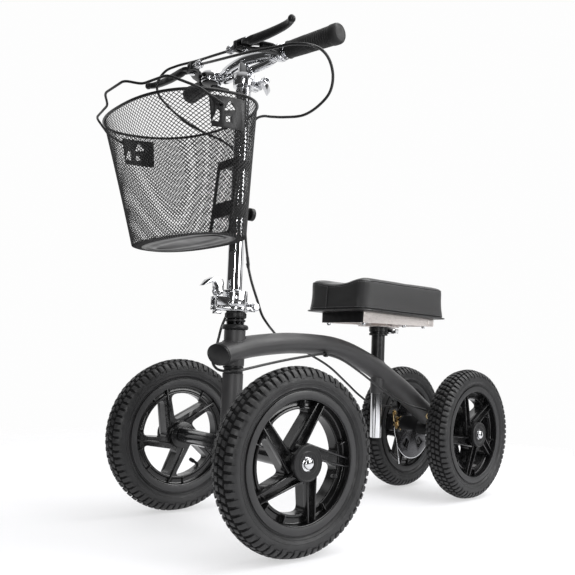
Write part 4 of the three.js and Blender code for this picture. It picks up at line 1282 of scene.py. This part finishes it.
def cables():
    """Sheathed cables with a ferrule at each end; the upper ones run on into the column's cable clip."""
    for name, line, turned in (("left_upper", LEFT_UPPER, True), ("right_upper", RIGHT_UPPER, True),
                               ("left_lower", LEFT_LOWER, False), ("right_lower", RIGHT_LOWER, False)):
        path = catmull(line, 8)
        parts = [sweep(path, CABLE_R, sides=16)]
        for i, j in ((0, 4), (-1, -5)):
            parts.append(between(rod(3.1, 0, 9, "Z", 24, 0.6), path[i], path[j]))
        if turned:
            parts.append(between(rod(3.0, -5, 8, "Z", 24, 0.6), path[-1], path[-1] * 2 - path[-2]))
        node = f"brake_cable_{name}"
        piece(f"{node}_sheath", merged(*parts), SHEATH, node, turned)


handlebar()
bar_ends()
bell()
height_quick_release()
fold_details()
cables()


# ---------------- knee pad
PAD_FRONT, PAD_REAR = 275.0, 600.0
PAD_HALF_W = 87.0
PAD_BOTTOM = 425.6
PAD_EDGE_R = 9.5
PAD_RISE = 4
POST_R_CLEAR = 13.2
TROUGH = ((0, 487.4), (14, 487.8), (28, 489.4), (48, 493.8), (60, 496.6), (70, 497.6), (80, 497.0), (92, 494))


def pad_top(x, y):
    """Height of the pad's upper face: a trough along the middle, rising a little to the rear."""
    x = abs(x)
    rise = PAD_RISE * (y - PAD_FRONT) / (PAD_REAR - PAD_FRONT)
    for (xa, za), (xb, zb) in zip(TROUGH, TROUGH[1:]):
        if x <= xb:
            t = (x - xa) / (xb - xa)
            t = t * t * (3 - 2 * t) * 0.5 + t * 0.5
            return za + (zb - za) * t + rise
    return TROUGH[-1][1] + rise


def pad_outline(inset, corner=28.0):
    """Plan outline, anticlockwise from the front left corner, always with the same number of points."""
    hx, y0, y1 = PAD_HALF_W - inset, PAD_FRONT + inset, PAD_REAR - inset
    corner = max(corner - inset * 0.5, 6)
    corners = [(hx - corner, y0 + corner, -90), (hx - corner, y1 - corner, 0),
               (-hx + corner, y1 - corner, 90), (-hx + corner, y0 + corner, 180)]
    arcs = []
    for cx, cy, start in corners:
        turns = [math.radians(start + 90 * k / 12) for k in range(13)]
        arcs.append([Vector((cx + corner * math.cos(a), cy + corner * math.sin(a))) for a in turns])
    line = []
    for arc, after, steps in zip(arcs, arcs[1:] + arcs[:1], (54, 24, 54, 24)):
        line += arc[:-1]
        line += [arc[-1].lerp(after[0], k / steps) for k in range(steps)]
    return line


def cushion_shell(shrink=0.0):
    """Closed form of the pad: flared foot, sides drawn in at mid height, rounded upper edge."""
    levels = ((30, 0.0), (6, 0.0), (1.2, 0.0), (0.4, 0.012), (0.6, 0.05), (1.7, 0.14), (2.9, 0.3), (3.6, 0.5),
              (3.6, 0.68), (3.2, 0.82))
    base = PAD_BOTTOM + shrink * 0.4
    rows = []
    for inset, up in levels:
        row = pad_outline(inset + shrink)
        side = up / levels[-1][1]
        rows.append([(p.x, p.y, base + (pad_top(p.x, p.y) - PAD_EDGE_R - shrink - base) * side) for p in row])
    for k in range(1, 7):
        a = math.pi / 2 * k / 6
        row = pad_outline(levels[-1][0] + shrink + PAD_EDGE_R * (1 - math.cos(a)))
        rows.append([(p.x, p.y, pad_top(p.x, p.y) - shrink - PAD_EDGE_R * (1 - math.sin(a))) for p in row])
    edge = rows[-1]
    for k in range(1, 15):
        row = []
        for x, y, _ in edge:
            centre = max(PAD_FRONT + PAD_HALF_W, min(PAD_REAR - PAD_HALF_W, y))
            x, y = x - x * k / 15, y + (centre - y) * k / 15
            row.append((x, y, pad_top(x, y) - shrink))
        rows.append(row)
    return skin(rows)


def puffed(mesh, cell=5.0, cap=3.5):
    """The pad swollen by cloth pressure, its outward travel evened out and held short."""
    start = evaluated(mesh, ("REMESH", {"mode": "VOXEL", "voxel_size": cell, "use_smooth_shade": True}))
    small = start.copy()
    small.transform(Matrix.Scale(MM, 4))
    obj = linked("cushion_work", small)
    cloth = obj.modifiers.new("cloth", "CLOTH")
    s = cloth.settings
    s.quality = 6
    s.mass = 0.3
    s.tension_stiffness = s.compression_stiffness = 25
    s.shear_stiffness = 12
    s.bending_stiffness = 4
    s.use_pressure = True
    s.uniform_pressure_force = 4
    s.effector_weights.gravity = 0
    cloth.collision_settings.use_collision = False
    scene = bpy.context.scene
    for frame in range(1, 21):
        scene.frame_set(frame)
    swollen = obj.evaluated_get(bpy.context.evaluated_depsgraph_get()).to_mesh()
    travel = [max(-1.0, min(cap, (b.co / MM - a.co).dot(a.normal))) for a,
              b in zip(start.vertices, swollen.vertices)]
    near = [[] for _ in travel]
    for edge in start.edges:
        a, b = edge.vertices
        near[a].append(b)
        near[b].append(a)
    for _ in range(10):
        travel = [0.5 * t + 0.5 * sum(travel[i] for i in ring) / max(len(ring), 1) for t,
                  ring in zip(travel, near)]
    out = start.copy()
    for vert, t, normal in zip(out.vertices, travel, [Vector(v.normal) for v in start.vertices]):
        hold = max(0.0, min(1.0, (vert.co.z - PAD_BOTTOM - 6) / 24))
        vert.co += normal * (t * hold * (1.0 if normal.z > 0.5 else 0.5))
    bpy.data.objects.remove(obj)
    scene.frame_set(1)
    return evaluated(out, ("SMOOTH", {"factor": 0.5, "iterations": 2}),
                     ("SUBSURF", {"levels": 1, "render_levels": 1}))


def seat_cloth(mesh, top, sides):
    mesh.materials.clear()
    mesh.materials.append(top)
    mesh.materials.append(sides)
    for p in mesh.polygons:
        p.material_index = 0 if p.normal.z > 0.55 else 1


def stitches(line, length=3.4, gap=1.6, r=0.42):
    """Short thread dashes along a line of points."""
    parts, run, dash = [], 0.0, []
    for a, b in zip(line, line[1:]):
        seg = (b - a).length
        n = max(1, round(seg / 0.8))
        for k in range(n):
            p = a.lerp(b, k / n)
            phase = run % (length + gap)
            if phase < length:
                dash.append(p)
            elif dash:
                if len(dash) > 2:
                    parts.append(sweep([dash[0], dash[len(dash) // 2], dash[-1]], r, sides=6))
                dash = []
            run += seg / n
    return merged(*parts)


def knee_pad():
    shell = cushion_shell(2.2)
    body = puffed(shell)
    tree = BVHTree.FromPolygons([v.co for v in body.vertices], [tuple(p.vertices) for p in body.polygons])

    def onto(p, lift=0.0):
        at, normal, _, _ = tree.find_nearest(Vector(p))
        return at + normal * lift

    obj = piece("knee_pad_cover", body, VINYL, "knee_pad", sharp=60)
    seat_cloth(obj.data, VINYL, TWILL)

    def rim(inset, drop, lift):
        ring = pad_outline(inset)
        return [onto((p.x, p.y, pad_top(p.x, p.y) - drop), lift) for p in ring]

    piping = rim(4.2, 5.5, 0.1)
    extra("knee_pad_piping", sweep(piping, 1.5, 1.1, 10, closed=True), VINYL, "knee_pad")
    lines = []
    for inset, drop in ((3.6, 9.5), (8.5, 1.2)):
        ring = rim(inset, drop, 0.15)
        lines.append(stitches(ring + ring[:1]))
    seams = []
    for x, y, side in ((-20.0, PAD_FRONT, -1), (20.0, PAD_REAR, 1)):
        column = [onto((x, y + side * 2, PAD_BOTTOM + 3 + k * 4), 0.1) for k in range(15)]
        seams.append(sweep(column, 0.9, sides=8))
        lines.append(stitches([p + Vector((-2.2, side * 0.3, 0)) for p in column]))
    extra("knee_pad_seams", merged(*seams), VINYL, "knee_pad")
    low = [onto((p.x, p.y, PAD_BOTTOM + 7), 0.15) for p in pad_outline(0.6)]
    lines.append(stitches(low + low[:1]))
    extra("knee_pad_stitches", merged(*lines), THREAD, "knee_pad")
    hem = [Vector((p.x, p.y, PAD_BOTTOM + 1.3)) for p in pad_outline(-0.1)]
    extra("knee_pad_hem", sweep(hem, 1.7, 1.2, 10, closed=True), VINYL, "knee_pad")
    board = prism([tuple(p) for p in pad_outline(3.0)], PAD_BOTTOM - 0.5, PAD_BOTTOM + 2, "Z", 0.3)
    extra("knee_pad_board", board, PLASTIC, "knee_pad")


def pad_mount():
    """Details of the tray under the pad, with painted shade on its front face, its bolts, and the clamp ring
    on the pad's post.
    """
    # Painted shade: a black plate over the tray's alloy front face, standing for the shadow that face falls
    # in.
    front = box(-58.5, 58.5, 308.6, 310.4, 401.3, 424.5, 0.4)
    block = box(44, 60.8, 553, 575.8, 407.4, 424.6, 0.6)
    extra("tray_front_painted_shade", front, BLACK, "pad_bracket")
    extra("tray_end_blocks", merged(block, mirrored(block)), ALLOY, "pad_bracket")
    bolt = lathe([(0, -5.6), (3.6, -5.2), (4.4, -3.2), (4.4, -0.9), (5.2, -0.8), (5.2, 0), (0, 0)], "Z", 24)
    pair = merged(bolt, box(-8, 8, -8, 8, -0.2, 1.6, 0.4))
    bolts = [shifted(pair, s * 50, y, z) for y, z in ((322, 401), (470, 404.4), (548, 406.3))
             for s in (-1, 1)]
    extra("tray_bolts", merged(*bolts), CAST_CHROME, "pad_bracket")
    flange = plate([(-36, 404), (36, 404), (36, 476), (-36, 476)], 8, 398.7, 400.9, 0.5, 4)
    hole = shifted(rod(POST_R_CLEAR, 390, 410, "Z", 40, 0), 0, POST_Y, 0)
    extra("tray_flange", cut(flange, hole), ALLOY, "pad_bracket")
    ring = [(15.6, 379), (20.6, 379), (21.4, 379.8), (21.4, 383.2), (20.4, 384), (19.2, 384.6), (19.2, 386.6),
            (20.6, 387.2), (21.5, 388), (21.5, 397.2), (20.8, 398), (15.6, 398)]
    slit = box(-1.2, 1.2, POST_Y + 10, POST_Y + 30, 370, 410, 0)
    body = cut(shifted(lathe(ring, "Z", 72, ring=True), 0, POST_Y, 0), slit)
    ears = [shifted(plate([(x0, 15), (x1, 15), (x1, 34), (x0, 34)], 3, 384, 398, 1.0), 0, POST_Y, 0)
            for x0, x1 in ((-10, -1.5), (1.5, 10))]
    piece("pad_clamp_look", merged(body, *ears), BLACK, "pad_clamp")


knee_pad()
pad_mount()


# ---------------- small parts of the disc brakes
CALIPER_AT = (ROTOR_X, 600, 167)


def caliper_parts(tag, s):
    """Bolts, barrel adjuster, return spring and the bright cable tail of one caliper, on side s."""
    x, y, z = CALIPER_AT
    caliper = f"caliper_{tag}"
    bolt = [(0, 0), (4.2, 0), (4.2, 1.0), (3.4, 1.4), (3.4, 4.2), (1.9, 4.4), (1.7, 2.6), (0, 2.6)]
    parts = []
    for dy, dz in ((-10, -9), (-8, 13), (9, -13), (9, 13), (-17, -2)):
        at, to = (s * (x - 10.2), y + dy, z + dz), (s * (x - 14), y + dy, z + dz)
        parts.append(between(lathe(bolt, "Z", 24, round_by=0.25), at, to))
    coil = []
    for t in range(44):
        a = t * math.pi / 6
        coil.append((s * (x - 13.4 - 1.1 * t / 12), y - 4 + 6.4 * math.cos(a), z + 6.4 * math.sin(a)))
    parts.append(sweep(coil, 0.7, sides=8))
    clamp = lathe([(0, 0), (4.8, 0), (4.8, 2.2), (3.2, 2.6), (3.2, 5.4), (0, 5.8)], "Z", 6, round_by=0.3)
    parts.append(between(clamp, (s * (x - 13.8), y - 21, z + 26), (s * (x - 19), y - 21, z + 26)))
    extra(f"caliper_fittings_{tag}", merged(*parts), GOLD, caliper)
    route = ((16, -21, 24), (16, -24, -16), (15, -12, -44), (15, -3, -84))
    tail = catmull([(s * (x - dx), y + dy, z + dz) for dx, dy, dz in route], 8)
    end = sweep([tail[-1], tail[-1] + (tail[-1] - tail[-4])], 1.9, sides=12)
    extra(f"cable_tail_{tag}", merged(sweep(tail, 0.9, sides=8), end), CHROME, caliper)
    rim = shifted(tube(ROTOR_R - 1.2, ROTOR_R + 0.2, -1.15, 1.15, "X", 96, 0), s * (x + 0.5), WHEELBASE,
                  TYRE_R)
    extra(f"disc_edge_{tag}", rim, CHROME, f"brake_disc_rear_{tag}")


caliper_parts("left", 1)
caliper_parts("right", -1)


# ---------------- the CAD nodes that keep their shape
KEPT = {
    BLACK: ("rear_carrier", "basket_bracket", "basket_hinge_left", "basket_hinge_right"),
    PLASTIC: ("cable_clip",),
    CHROME: ("rear_axle", "pad_clamp_lever"),
    CAST_CHROME: ("fold_base", "fold_clamp", "fold_pin", "fold_latch_bolt", "fold_latch_lever",
                  "height_clamp"),
    GOLD: ("caliper_arm_left", "caliper_arm_right"),
    CAST: ("caliper_left", "caliper_right"),
    STEEL: ("brake_disc_rear_left", "brake_disc_rear_right"),
    ALLOY: ("pad_bracket",),
}
for material, names in KEPT.items():
    for name in names:
        keep(name, material)
